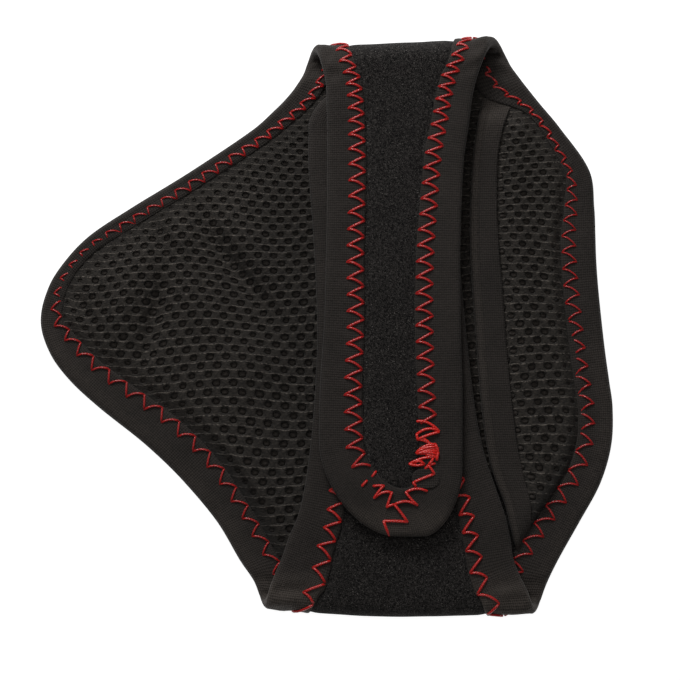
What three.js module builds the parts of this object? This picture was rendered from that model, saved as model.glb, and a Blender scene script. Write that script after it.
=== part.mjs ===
// Neck brace in black cloth, lying folded: a wide padded back with a strap at each end.
// Both straps are folded over onto the mesh side, the top strap over the bottom strap.
// Millimetres, +Z up, +X to the right and +Y towards the top fold, seen from above.
// The origin is on the ground under the middle of the folded brace.
import * as THREE from 'three';

// Cloth thicknesses, and the clearance between sewn layers
const panelThick = 2.0;
const tapeThick = 0.9;
const meshThick = 3.5;
const meshPinched = 1.2;
const meshPressed = 1.8;
const gap = 0.3;

// Heights of the outer face of the pad and of each strap
const tapeStep = tapeThick + gap;
const meshFloor = panelThick + gap;
const meshLower = meshFloor + gap;
const padLevel = tapeStep;
const bottomLevel = padLevel + meshFloor + meshThick + gap + tapeStep + panelThick;
const topLevel = bottomLevel + tapeStep + gap + tapeStep + panelThick;

// The two folds: half turns of the outer face between those heights
const topReach = 107.5;
const bottomReach = 107.2;
const topRadius = (topLevel - padLevel) / 2;
const bottomRadius = (bottomLevel - padLevel) / 2;
const topFoldY = topReach - topRadius - tapeStep;
const bottomFoldY = bottomRadius - bottomReach;
const foldSteps = 8;

// The top fold slants and the bottom fold bows, fading out along the layers
const topSlant = 3.0;
const topSlantLeft = -3;
const topSlantRight = 63;
const bottomBow = 2.0;
const bottomBowMiddle = 27;
const bottomBowHalf = 50;
const leanFade = 45;

// Sections across the brace: both edges, and the binding's visible width at each
const sectionColumns = ['y', 'left', 'right', 'tapeLeft', 'tapeRight'];
const padSections = table(sectionColumns, [
  [-100, -23.9, 79.4, 16, 17],
  [-87, -31.9, 85.6, 15.5, 16],
  [-72, -40.9, 93.5, 15, 14.5],
  [-58, -51.7, 100.6, 15, 13],
  [-44, -66.0, 105.3, 14.5, 12.5],
  [-30, -84.5, 106.2, 14, 12],
  [-20, -95.3, 104.9, 13, 12],
  [-10, -102.6, 103.5, 12, 12],
  [2, -106.1, 102.1, 9, 12],
  [15, -103.0, 100.8, 8, 12],
  [25, -96.5, 100.1, 8, 12],
  [34, -86.7, 99.8, 7.5, 12],
  [44, -71.0, 99.4, 7, 10.5],
  [58, -49.4, 97.3, 7, 8.5],
  [74, -26.2, 85.9, 7, 7],
  [83, -16.6, 78.4, 7, 8.5],
  [92, -9.2, 71.4, 8, 10.5],
  [98, -6.3, 67.4, 9, 11],
]);
const topStrapSections = table(sectionColumns, [
  [98, -1.4, 57.6, 12.5, 13],
  [92, -0.2, 55.5, 13.2, 13.3],
  [85, 0.0, 53.9, 13.8, 13.6],
  [75, 0.2, 52.6, 14.1, 14.1],
  [62, 0.2, 50.8, 14.4, 14.8],
  [46, 0.2, 49.9, 14.3, 15.4],
  [25, -0.2, 49.4, 14.2, 16.5],
  [1, -0.9, 49.6, 15, 17],
  [-22, -2.4, 50.2, 15.7, 16.9],
  [-42, -2.8, 50.2, 16.5, 16],
]);
const bottomStrapSections = table(sectionColumns, [
  [-100, -21.0, 74.6, 18.7, 18.3],
  [-94, -18.9, 71.8, 18.7, 17.7],
  [-87, -16.3, 69.2, 18.2, 17.3],
  [-79, -13.9, 68.0, 17.3, 17.4],
  [-70, -10.4, 66.0, 16.5, 17.2],
  [-60, -8.2, 62.7, 15.5, 16],
  [-47, -6.3, 58.4, 14.5, 14.5],
  [-30, -4.6, 55.0, 13, 13],
  [-7, -3.5, 52.2, 13, 13],
  [10, -3.7, 50.5, 13, 13],
  [35, -5.0, 48.2, 13, 13],
  [60, -6.7, 45.8, 13, 13],
  [74, -6.6, 45.2, 13, 13],
]);

// Rounded strap tips: where each ends, the binding's width there, and the rounding of both corners.
// length and width are the corner's reach along and across, turn is its reach across at the inner edge.
const tipPower = 1.75;
const topTip = {
  endY: -77.5,
  tape: 17.8,
  left: { length: 35, width: 28, turn: 14.4 },
  right: { length: 24.4, width: 14, turn: 5.7 },
};
const bottomTip = {
  endY: 89,
  tape: 13,
  left: { length: 15, width: 16.7, turn: 6 },
  right: { length: 15, width: 16.7, turn: 6 },
};

// Widths of the binding where it doesn't show
const padBackTape = 13;
const strapBackShare = 0.85;

// The binding's stations: longest steps, and places on a rounded tip as shares of its length
const padStep = 6.2;
const strapStep = 12;
const tipShares = [0.2, 0.42, 0.62, 0.78, 0.9, 0.97, 1];
const tapeCorner = 0.6;

// Where the mesh layers end along the pad and the binding drops onto the panel alone
const meshEnd = 91;
const meshEndTaper = 8;
const tapeDropStart = 94;
const tapeDropEnd = 99;

// The pad sinks to the ground inside its binding
const sinkStart = 15;
const sinkReach = 16;
const foldSinkStart = 3;

// Soft waves of the main mesh: a ridge or a valley on each row, in its own turned frame
const meshWaves = table(['x', 'y', 'turn', 'halfLength', 'halfWidth', 'height'], [
  [-35, 23, -56, 25, 6, -2.4],
  [-64.5, 21, -78, 16, 6, -1.9],
  [-65.5, -4, 71, 15, 6.5, -2.2],
  [-52, 22, -64, 8, 4, -0.8],
  [-79, 13, 60, 16, 11, 1.1],
  [-50, 8, 70, 17, 9, 1.0],
  [-31, 51, 34, 22, 9, 1.0],
  [-33, -15, 20, 17, 14, 0.9],
]);

// The flap's binding strip: its two edges
const strip = table(['y', 'left', 'right'], [
  [-74, 67.8, 74.0],
  [-66, 66.0, 75.6],
  [-56, 62.2, 73.2],
  [-46, 59.6, 71.0],
  [-31, 57.5, 69.0],
  [-15, 56.1, 67.3],
  [0, 55.0, 66.1],
  [17, 53.8, 64.9],
  [33, 53.1, 63.6],
  [50, 53.4, 63.1],
  [65, 54.4, 63.7],
  [77, 56.1, 65.7],
  [84, 58.1, 68.6],
]);

// The main mesh runs on under the strip as far as this
const mainRight = table(['y', 'x'], [
  [-91.5, 50],
  [-72, 58],
  [-50, 62.3],
  [-31, 62],
  [0, 60],
  [33, 58],
  [65, 58],
  [79, 56],
  [91.5, 46],
]);

// How far from the strip the main mesh starts to be pressed down, and is flat
const pressStart = 9.5;
const pressEnd = 2;

// The flap lies on the main mesh beside its strip and comes down to the panel further right
const flapStartY = -74;
const flapEndY = 83;
const flapLift = meshFloor + meshPressed + gap + tapeThick + gap;
const flapRamp = 14;
const flapMargin = 3;
const puffStart = 1.3;
const puffEnd = 7.5;

// Closure patch under the end of the top strap
const hookPatch = { x: 23.5, y: -31, width: 22, length: 32, corner: 5 };

// A table's rows as objects with its columns' names
function table(columns, rows) {
  return rows.map((row) => Object.fromEntries(columns.map((name, i) => [name, row[i]])));
}

function lerp(a, b, share) {
  return a + (b - a) * share;
}

function smooth(value, start, end) {
  return THREE.MathUtils.smoothstep(value, start, end);
}

// A smooth curve through a table's rows: column `to` against column `from`, which rises
function curveThrough(rows, from, to) {
  const last = rows.length - 1;
  const slopes = rows.map((row, i) => {
    const before = rows[Math.max(i - 1, 0)];
    const after = rows[Math.min(i + 1, last)];
    return (after[to] - before[to]) / (after[from] - before[from]);
  });
  return (value) => {
    const place = THREE.MathUtils.clamp(value, rows[0][from], rows[last][from]);
    let i = 0;
    while (i < last - 1 && rows[i + 1][from] < place) i += 1;
    const span = rows[i + 1][from] - rows[i][from];
    const t = (place - rows[i][from]) / span;
    const rise = rows[i + 1][to] - rows[i][to];
    const bend = (slopes[i] * span - rise) * (1 - t) + (rise - slopes[i + 1] * span) * t;
    return rows[i][to] + rise * t + bend * t * (1 - t);
  };
}

// The cloth's own coordinates: along runs from the bottom strap's tip over the pad to the top strap's tip,
// across is X, and deep is the distance inwards from the outer face. On the pad, along is Y.
const topTurn = Math.PI * topRadius;
const bottomTurn = Math.PI * bottomRadius;

function topStrapAlong(y) {
  return 2 * topFoldY + topTurn - y;
}

function bottomStrapAlong(y) {
  return 2 * bottomFoldY - bottomTurn - y;
}

function fold(angle, radius, foldY, side) {
  return {
    y: foldY + side * radius * Math.sin(angle),
    z: padLevel + radius * (1 - Math.cos(angle)),
    inY: -side * Math.sin(angle),
    inZ: Math.cos(angle),
  };
}

// The outer face's place on the middle line, and the inward direction there
function profile(along) {
  if (along > topFoldY + topTurn) {
    return { y: 2 * topFoldY + topTurn - along, z: topLevel, inY: 0, inZ: -1 };
  }
  if (along > topFoldY) {
    return fold((along - topFoldY) / topRadius, topRadius, topFoldY, 1);
  }
  if (along < bottomFoldY - bottomTurn) {
    return { y: 2 * bottomFoldY - bottomTurn - along, z: bottomLevel, inY: 0, inZ: -1 };
  }
  if (along < bottomFoldY) {
    return fold((bottomFoldY - along) / bottomRadius, bottomRadius, bottomFoldY, -1);
  }
  return { y: along, z: padLevel, inY: 0, inZ: 1 };
}

function fade(along, start, end) {
  const away = Math.max(start - along, along - end, 0);
  return 1 - smooth(away, 0, leanFade);
}

function lean(along, across) {
  const slant = THREE.MathUtils.clamp((topSlantRight - across) / (topSlantRight - topSlantLeft), 0, 1);
  const bow = Math.min(((across - bottomBowMiddle) / bottomBowHalf) ** 2, 1);
  const atTop = fade(along, topFoldY, topFoldY + topTurn);
  const atBottom = fade(along, bottomFoldY - bottomTurn, bottomFoldY);
  return bottomBow * bow * atBottom - topSlant * slant * atTop;
}

function place(along, across, deep) {
  const at = profile(along);
  const y = at.y + deep * at.inY + lean(along, across);
  const z = at.z + deep * at.inZ - sink(along, across);
  return new THREE.Vector3(across, y, z);
}

// Both edges of the whole cloth, from the three tables
const sections = [
  ...bottomStrapSections.map((row) => ({ ...row, along: bottomStrapAlong(row.y) })).reverse(),
  ...padSections.map((row) => ({ ...row, along: row.y })),
  ...topStrapSections.map((row) => ({ ...row, along: topStrapAlong(row.y) })),
];
const tips = [
  { ...topTip, end: topStrapAlong(topTip.endY), way: 1 },
  { ...bottomTip, end: bottomStrapAlong(bottomTip.endY), way: -1 },
];
const sides = {
  left: {
    edge: curveThrough(sections, 'along', 'left'),
    tape: curveThrough(sections, 'along', 'tapeLeft'),
    inward: 1,
  },
  right: {
    edge: curveThrough(sections, 'along', 'right'),
    tape: curveThrough(sections, 'along', 'tapeRight'),
    inward: -1,
  },
};

function tipAt(side, along) {
  for (const tip of tips) {
    const share = 1 - (tip.end - along) * tip.way / tip[side].length;
    if (share > 0) return { tip, share: Math.min(share, 1) };
  }
  return null;
}

function cornerIn(share) {
  return 1 - (1 - share ** tipPower) ** (1 / tipPower);
}

function edgeAcross(side, along) {
  const round = tipAt(side, along);
  const { edge, inward } = sides[side];
  if (!round) return edge(along);
  return edge(along) + inward * round.tip[side].width * cornerIn(round.share);
}

// The panel's own edge, inside the binding's fold
function panelAcross(side, along) {
  const round = tipAt(side, along);
  const { inward } = sides[side];
  if (!round) return edgeAcross(side, along) + inward * tapeStep * widen(side, along);
  return edgeAcross(side, along + round.tip.way * (tapeStep + gap)) + inward * (tapeStep + gap);
}

const slopeStep = 0.5;
function edgeSlope(side, along) {
  const after = edgeAcross(side, along + slopeStep);
  const before = edgeAcross(side, along - slopeStep);
  return (after - before) / (2 * slopeStep);
}

// How much wider a distance square to an edge is when it is measured across
const steepest = 6;
function widen(side, along) {
  return Math.min(Math.hypot(1, edgeSlope(side, along)), steepest);
}

function onStrap(along) {
  const overTop = smooth(along, topFoldY, topFoldY + topTurn);
  const overBottom = smooth(-along, -bottomFoldY, bottomTurn - bottomFoldY);
  return Math.max(overTop, overBottom);
}

// 1 on a fold, down to 0 a little way off it, where the binding lies square to its edge again
const squareReach = 14;
function nearFold(along) {
  const top = Math.max(topFoldY - along, along - topFoldY - topTurn, 0);
  const bottom = Math.max(bottomFoldY - bottomTurn - along, along - bottomFoldY, 0);
  return 1 - smooth(Math.min(top, bottom), 0, squareReach);
}

// A station of the binding: a point of the outline, and the ways in to the binding's inner edges
function station(side, along) {
  const { tape, inward } = sides[side];
  const shown = tape(along);
  const round = tipAt(side, along);
  const across = edgeAcross(side, along);
  if (round) {
    const { tip, share } = round;
    const { width, turn } = tip[side];
    const acrossIn = inward * (shown + (turn - width) * cornerIn(share));
    const outerWay = new THREE.Vector2(-tip.way * tip.tape * share, acrossIn);
    return { along, across, outerWay, innerWay: outerWay.clone().multiplyScalar(strapBackShare) };
  }
  const slope = edgeSlope(side, along) * (1 - nearFold(along));
  const way = new THREE.Vector2(-slope * inward, inward).normalize();
  const strapped = onStrap(along);
  const outerWidth = lerp(padBackTape, shown, strapped);
  const innerWidth = lerp(shown, shown * strapBackShare, strapped);
  return {
    along,
    across,
    outerWay: way.clone().multiplyScalar(outerWidth),
    innerWay: way.clone().multiplyScalar(innerWidth),
  };
}

// Even steps from start to end, without the start
function steps(start, end, longest) {
  const count = Math.ceil(Math.abs(end - start) / longest);
  return Array.from({ length: count }, (_, i) => lerp(start, end, (i + 1) / count));
}

// Places along one side of the cloth, from the bottom tip to the top tip
function sidePlaces(side) {
  const [top, bottom] = tips;
  const bottomRound = bottom.end + bottom[side].length;
  const topRound = top.end - top[side].length;
  return [
    ...tipShares.map((share) => bottomRound - share * bottom[side].length).reverse(),
    bottomRound,
    ...steps(bottomRound, bottomFoldY - bottomTurn, strapStep),
    ...steps(bottomFoldY - bottomTurn, bottomFoldY, bottomTurn / foldSteps),
    ...steps(bottomFoldY, topFoldY, padStep),
    ...steps(topFoldY, topFoldY + topTurn, topTurn / foldSteps),
    ...steps(topFoldY + topTurn, topRound, strapStep),
    ...tipShares.map((share) => topRound + share * top[side].length),
  ];
}

const leftStations = sidePlaces('left').map((along) => station('left', along));
const rightStations = sidePlaces('right').map((along) => station('right', along));
const outline = [...leftStations, ...rightStations.reverse()];

// Distance on the cloth from a point of the pad to the outline, and the binding's width at the nearest place
function nearestEdge(along, across) {
  const point = new THREE.Vector2(along, across);
  let best = { distance: Infinity, tape: 0 };
  outline.forEach((from, i) => {
    const to = outline[(i + 1) % outline.length];
    const start = new THREE.Vector2(from.along, from.across);
    const run = new THREE.Vector2(to.along, to.across).sub(start);
    const share = THREE.MathUtils.clamp(point.clone().sub(start).dot(run) / run.lengthSq(), 0, 1);
    const distance = point.distanceTo(start.addScaledVector(run, share));
    if (distance < best.distance) {
      best = { distance, tape: lerp(from.innerWay.length(), to.innerWay.length(), share) };
    }
  });
  return best;
}

function clearOfTape(along, across) {
  const { distance, tape } = nearestEdge(along, across);
  return distance - tape;
}

function sink(along, across) {
  const toFold = Math.min(topFoldY - along, along - bottomFoldY) - foldSinkStart;
  if (toFold <= 0) return 0;
  const inside = Math.min(toFold, nearestEdge(along, across).distance - sinkStart);
  return padLevel * smooth(inside, 0, sinkReach);
}

// A closed sheet from rows of points, each point with a lower and an upper place
function slab(rows) {
  const width = rows[0].length;
  const count = rows.length * width;
  const upper = rows.flat().map((point) => point.upper);
  const lower = rows.flat().map((point) => point.lower);
  const triangles = [];
  const quad = (a, b, c, d) => triangles.push(a, b, c, a, c, d);
  for (let i = 0; i < rows.length - 1; i += 1) {
    for (let j = 0; j < width - 1; j += 1) {
      const a = i * width + j;
      quad(a, a + 1, a + 1 + width, a + width);
      quad(count + a, count + a + width, count + a + 1 + width, count + a + 1);
    }
    const first = i * width;
    const last = first + width - 1;
    quad(first, first + width, count + first + width, count + first);
    quad(last + width, last, count + last, count + last + width);
  }
  const end = count - width;
  for (let j = 0; j < width - 1; j += 1) {
    quad(j + 1, j, count + j, count + j + 1);
    quad(end + j, end + j + 1, count + end + j + 1, count + end + j);
  }
  return geometryOf([...upper, ...lower], triangles);
}

// A closed tube from rings of points in order: a loop, or capped at both ends by the ring's faces in caps
function sweep(rings, caps = []) {
  const size = rings[0].length;
  const triangles = [];
  const runs = caps.length ? rings.length - 1 : rings.length;
  for (let i = 0; i < runs; i += 1) {
    const from = i * size;
    const to = ((i + 1) % rings.length) * size;
    for (let j = 0; j < size; j += 1) {
      const next = (j + 1) % size;
      triangles.push(from + j, from + next, to + next, from + j, to + next, to + j);
    }
  }
  const end = runs * size;
  caps.forEach((face) => {
    for (let k = 1; k < face.length - 1; k += 1) {
      triangles.push(face[0], face[k + 1], face[k]);
      triangles.push(end + face[0], end + face[k], end + face[k + 1]);
    }
  });
  return geometryOf(rings.flat(), triangles);
}

function geometryOf(points, triangles) {
  const geometry = new THREE.BufferGeometry();
  geometry.setAttribute('position', new THREE.Float32BufferAttribute(points.flatMap((p) => p.toArray()), 3));
  geometry.setIndex(volumeOf(points, triangles) < 0 ? triangles.toReversed() : triangles);
  geometry.computeVertexNormals();
  return geometry;
}

function volumeOf(points, triangles) {
  let six = 0;
  for (let i = 0; i < triangles.length; i += 3) {
    const [a, b, c] = triangles.slice(i, i + 3).map((index) => points[index]);
    six += a.dot(b.clone().cross(c));
  }
  return six / 6;
}

// Outer panel of loop velvet: back of the pad and both straps in one piece
// Its columns: reach in from each edge, up to a share of the width; and the closer rows at the strap tips
const panelColumns = table(['reach', 'share'], [
  [0, 0],
  [sinkStart - tapeStep - 0.5, 0.2],
  [sinkStart - tapeStep + sinkReach, 0.36],
]);

const panelStep = 7.4;
const panelTip = { reach: 14, step: 2.4 };

function outerPanel() {
  const [top, bottom] = tips;
  const bottomEnd = bottom.end + tapeStep + gap;
  const topEnd = top.end - tapeStep - gap;
  const topReachIn = panelTip.reach * 2;
  const places = [
    bottomEnd,
    ...steps(bottomEnd, bottomEnd + panelTip.reach, panelTip.step),
    ...steps(bottomEnd + panelTip.reach, bottomFoldY - bottomTurn, strapStep),
    ...steps(bottomFoldY - bottomTurn, bottomFoldY, bottomTurn / foldSteps),
    ...steps(bottomFoldY, topFoldY, panelStep),
    ...steps(topFoldY, topFoldY + topTurn, topTurn / foldSteps),
    ...steps(topFoldY + topTurn, topEnd - topReachIn, strapStep),
    ...steps(topEnd - topReachIn, topEnd, panelTip.step),
  ];
  const rows = places.map((along) => {
    const left = panelAcross('left', along);
    const right = panelAcross('right', along);
    const width = right - left;
    const inFrom = (side) => panelColumns.map(({ reach, share }) => {
      return Math.min(reach * widen(side, along), share * width);
    });
    const inLeft = inFrom('left').map((inward) => left + inward);
    const inRight = inFrom('right').map((inward) => right - inward);
    const middle = (inLeft.at(-1) + inRight.at(-1)) / 2;
    return [...inLeft, middle, ...inRight.reverse()].map((across) => ({
      lower: place(along, across, 0),
      upper: place(along, across, panelThick),
    }));
  });
  return slab(rows);
}

// Edge binding: one tape folded over the outline, all the way round
function stackHeight(along) {
  const pad = meshFloor + meshPinched;
  return lerp(pad, panelThick, smooth(Math.abs(along), tapeDropStart, tapeDropEnd));
}

function edgeBinding() {
  const rings = outline.map(({ along, across, outerWay, innerWay }) => {
    const put = (way, share, deep) => place(along + way.x * share, across + way.y * share, deep);
    const outer = (share, deep) => put(outerWay, share, deep);
    const inner = (share, over) => put(innerWay, share, stackHeight(along + innerWay.x * share) + over);
    const outerUnit = 1 / outerWay.length();
    const innerUnit = 1 / innerWay.length();
    return [
      outer(1, -tapeStep),
      outer(0.5, -tapeStep),
      outer(tapeCorner * outerUnit, -tapeStep),
      outer(0, tapeCorner - tapeStep),
      inner(0, tapeStep - tapeCorner),
      inner(tapeCorner * innerUnit, tapeStep),
      inner(0.5, tapeStep),
      inner(1, tapeStep),
      inner(1, gap),
      inner(0.5, gap),
      inner(tapeThick * innerUnit, gap),
      outer(tapeThick * outerUnit, -gap),
      outer(0.5, -gap),
      outer(1, -gap),
    ];
  });
  return sweep(rings);
}

// Spacer mesh: puffed between its bindings, waved in the left lobe, pressed flat under the flap's strip
const stripLeft = curveThrough(strip, 'y', 'left');
const stripRight = curveThrough(strip, 'y', 'right');
const mainEdge = curveThrough(mainRight, 'y', 'x');

function waves(x, y) {
  return meshWaves.reduce((sum, wave) => {
    const turn = THREE.MathUtils.degToRad(wave.turn);
    const dx = x - wave.x;
    const dy = y - wave.y;
    const long = (dx * Math.cos(turn) + dy * Math.sin(turn)) / wave.halfLength;
    const wide = (dy * Math.cos(turn) - dx * Math.sin(turn)) / wave.halfWidth;
    return sum + wave.height * Math.exp(-long * long - wide * wide);
  }, 0);
}

function mainTop(along, across) {
  const puff = smooth(clearOfTape(along, across), puffStart, puffEnd);
  const ends = 1 - smooth(Math.abs(along), meshEnd - meshEndTaper, meshEnd);
  const free = meshThick + sink(along, across) + waves(across, along);
  const underStrip = smooth(across, stripLeft(along) - pressStart, stripLeft(along) - pressEnd);
  const thick = lerp(free, meshPressed, underStrip);
  return meshFloor + lerp(meshPinched, thick, puff * ends);
}

// Columns of the main mesh, and the room kept for the last two beside its right edge
const evenColumns = 15;
const pressedRoom = 1;
const evenRoom = 3;

function meshMain() {
  const places = [-meshEnd, ...steps(-meshEnd, meshEnd, padStep)];
  const rows = places.map((along) => {
    const left = edgeAcross('left', along);
    const square = widen('left', along);
    const tape = sides.left.tape(along);
    const right = mainEdge(along);
    const pressed = Math.min(stripLeft(along) - pressEnd, right - pressedRoom);
    const start = left + (tape + puffEnd) * square;
    const end = Math.min(stripLeft(along) - pressStart, right - evenRoom);
    const evenly = Array.from({ length: evenColumns }, (_, i) => lerp(start, end, (i + 1) / evenColumns));
    const rim = [left + tapeStep * square, left + (tape + puffStart) * square, start];
    const columns = [...rim, ...evenly, pressed, right];
    return columns.map((across) => ({
      lower: place(along, across, meshLower),
      upper: place(along, across, mainTop(along, across)),
    }));
  });
  return slab(rows);
}

const flapRampStart = 0.5;
const flapPuffStart = 0.8;

function flapBottom(along, across) {
  const clear = smooth(clearOfTape(along, across), puffStart, puffEnd);
  const besideStrip = 1 - smooth(across, stripRight(along) + flapRampStart, stripRight(along) + flapRamp);
  return lerp(meshLower, flapLift, Math.min(clear, besideStrip));
}

function flapTop(along, across) {
  const clear = smooth(clearOfTape(along, across), puffStart, puffEnd);
  const pastStrip = smooth(across, stripRight(along) + flapPuffStart, stripRight(along) + puffEnd);
  const free = meshThick + sink(along, across);
  return flapBottom(along, across) + lerp(meshPinched - gap, free, clear * pastStrip);
}

const flapPlaces = [flapStartY, ...steps(flapStartY, flapEndY, padStep)];

function flapTapeEdge(along) {
  return edgeAcross('right', along) - (sides.right.tape(along) + puffStart) * widen('right', along);
}

const flapShares = [0.06, 0.26, 0.45, 0.63, 0.82, 1];
const flapLeastWidth = 0.6;

function meshFlap() {
  const rows = flapPlaces.map((along) => {
    const tapeEdge = flapTapeEdge(along);
    const left = stripLeft(along) + tapeStep;
    const pastStrip = Math.max(Math.min(stripRight(along), tapeEdge - flapMargin), left + flapLeastWidth);
    const across = flapShares.map((share) => lerp(pastStrip, tapeEdge, share));
    const right = edgeAcross('right', along) - tapeStep * widen('right', along);
    const columns = [left, pastStrip, ...across, right];
    return columns.map((x) => ({
      lower: place(along, x, flapBottom(along, x)),
      upper: place(along, x, flapTop(along, x)),
    }));
  });
  return slab(rows);
}

// Binding strip folded over the flap's free edge, and the faces that close its C-shaped ends
const stripCaps = [[0, 1, 8, 9], [1, 2, 8], [2, 3, 7, 8], [3, 4, 7], [4, 5, 6, 7]];
function flapBinding() {
  const clearOfPanel = (along) => flapBottom(along, stripRight(along)) > meshFloor + tapeStep + gap;
  const places = flapPlaces.filter((along) => stripRight(along) < flapTapeEdge(along) - flapMargin);
  const rings = places.filter(clearOfPanel).map((along) => {
    const left = stripLeft(along);
    const right = stripRight(along);
    const under = (across, deep) => place(along, across, flapBottom(along, across) - deep);
    const over = (across, deep) => place(along, across, flapTop(along, across) + deep);
    return [
      under(right, tapeStep),
      under(left + tapeCorner, tapeStep),
      under(left, tapeStep - tapeCorner),
      over(left, tapeStep - tapeCorner),
      over(left + tapeCorner, tapeStep),
      over(right, tapeStep),
      over(right, gap),
      over(left + tapeThick, gap),
      under(left + tapeThick, gap),
      under(right, gap),
    ];
  });
  return sweep(rings, stripCaps);
}

// Closure patch: a flat rounded rectangle between the two straps
function hookPatchGeometry() {
  const { width, length, corner } = hookPatch;
  const shape = new THREE.Shape();
  const x = width / 2;
  const y = length / 2;
  shape.moveTo(corner - x, -y);
  shape.lineTo(x - corner, -y);
  shape.absarc(x - corner, corner - y, corner, -Math.PI / 2, 0);
  shape.absarc(x - corner, y - corner, corner, 0, Math.PI / 2);
  shape.absarc(corner - x, y - corner, corner, Math.PI / 2, Math.PI);
  shape.absarc(corner - x, corner - y, corner, Math.PI, Math.PI * 1.5);
  const thick = topLevel - panelThick - bottomLevel - 2 * gap;
  return new THREE.ExtrudeGeometry(shape, { depth: thick, bevelEnabled: false, curveSegments: 4 });
}

// Finishes
const velvet = new THREE.MeshStandardMaterial({ color: 0x201e1d, roughness: 0.95, metalness: 0 });
const tapeCloth = new THREE.MeshStandardMaterial({ color: 0x292624, roughness: 0.85, metalness: 0 });
const spacerMesh = new THREE.MeshStandardMaterial({ color: 0x24211f, roughness: 0.8, metalness: 0 });
const hookNylon = new THREE.MeshStandardMaterial({ color: 0x1c1a1a, roughness: 0.7, metalness: 0 });

const group = new THREE.Group();

function add(name, geometry, material) {
  const mesh = new THREE.Mesh(geometry, material);
  mesh.name = name;
  group.add(mesh);
  return mesh;
}

add('outer_panel', outerPanel(), velvet);
add('mesh_main', meshMain(), spacerMesh);
add('mesh_flap', meshFlap(), spacerMesh);
add('flap_binding', flapBinding(), tapeCloth);
add('edge_binding', edgeBinding(), tapeCloth);
const hooks = add('hook_patch', hookPatchGeometry(), hookNylon);
hooks.position.set(hookPatch.x, hookPatch.y, bottomLevel + gap);

export default group;
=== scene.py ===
import math

import bpy
import numpy as np
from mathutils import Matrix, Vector, kdtree


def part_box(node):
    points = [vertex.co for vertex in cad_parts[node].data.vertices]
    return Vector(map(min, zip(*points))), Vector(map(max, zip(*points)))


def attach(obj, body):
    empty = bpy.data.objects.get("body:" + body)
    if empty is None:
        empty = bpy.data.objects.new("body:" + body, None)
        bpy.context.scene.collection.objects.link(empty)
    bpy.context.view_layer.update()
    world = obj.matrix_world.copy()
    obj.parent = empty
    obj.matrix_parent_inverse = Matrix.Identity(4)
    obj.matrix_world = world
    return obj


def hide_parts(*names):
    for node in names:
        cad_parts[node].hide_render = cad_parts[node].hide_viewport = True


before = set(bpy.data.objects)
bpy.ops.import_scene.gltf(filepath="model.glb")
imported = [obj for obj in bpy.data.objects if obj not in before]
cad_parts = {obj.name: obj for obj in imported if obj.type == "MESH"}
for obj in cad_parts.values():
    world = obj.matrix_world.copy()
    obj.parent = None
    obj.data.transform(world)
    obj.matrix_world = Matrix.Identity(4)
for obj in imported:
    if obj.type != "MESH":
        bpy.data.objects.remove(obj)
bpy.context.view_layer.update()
mm = 0.001
print("frame loaded:", len(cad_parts), "nodes")

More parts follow.
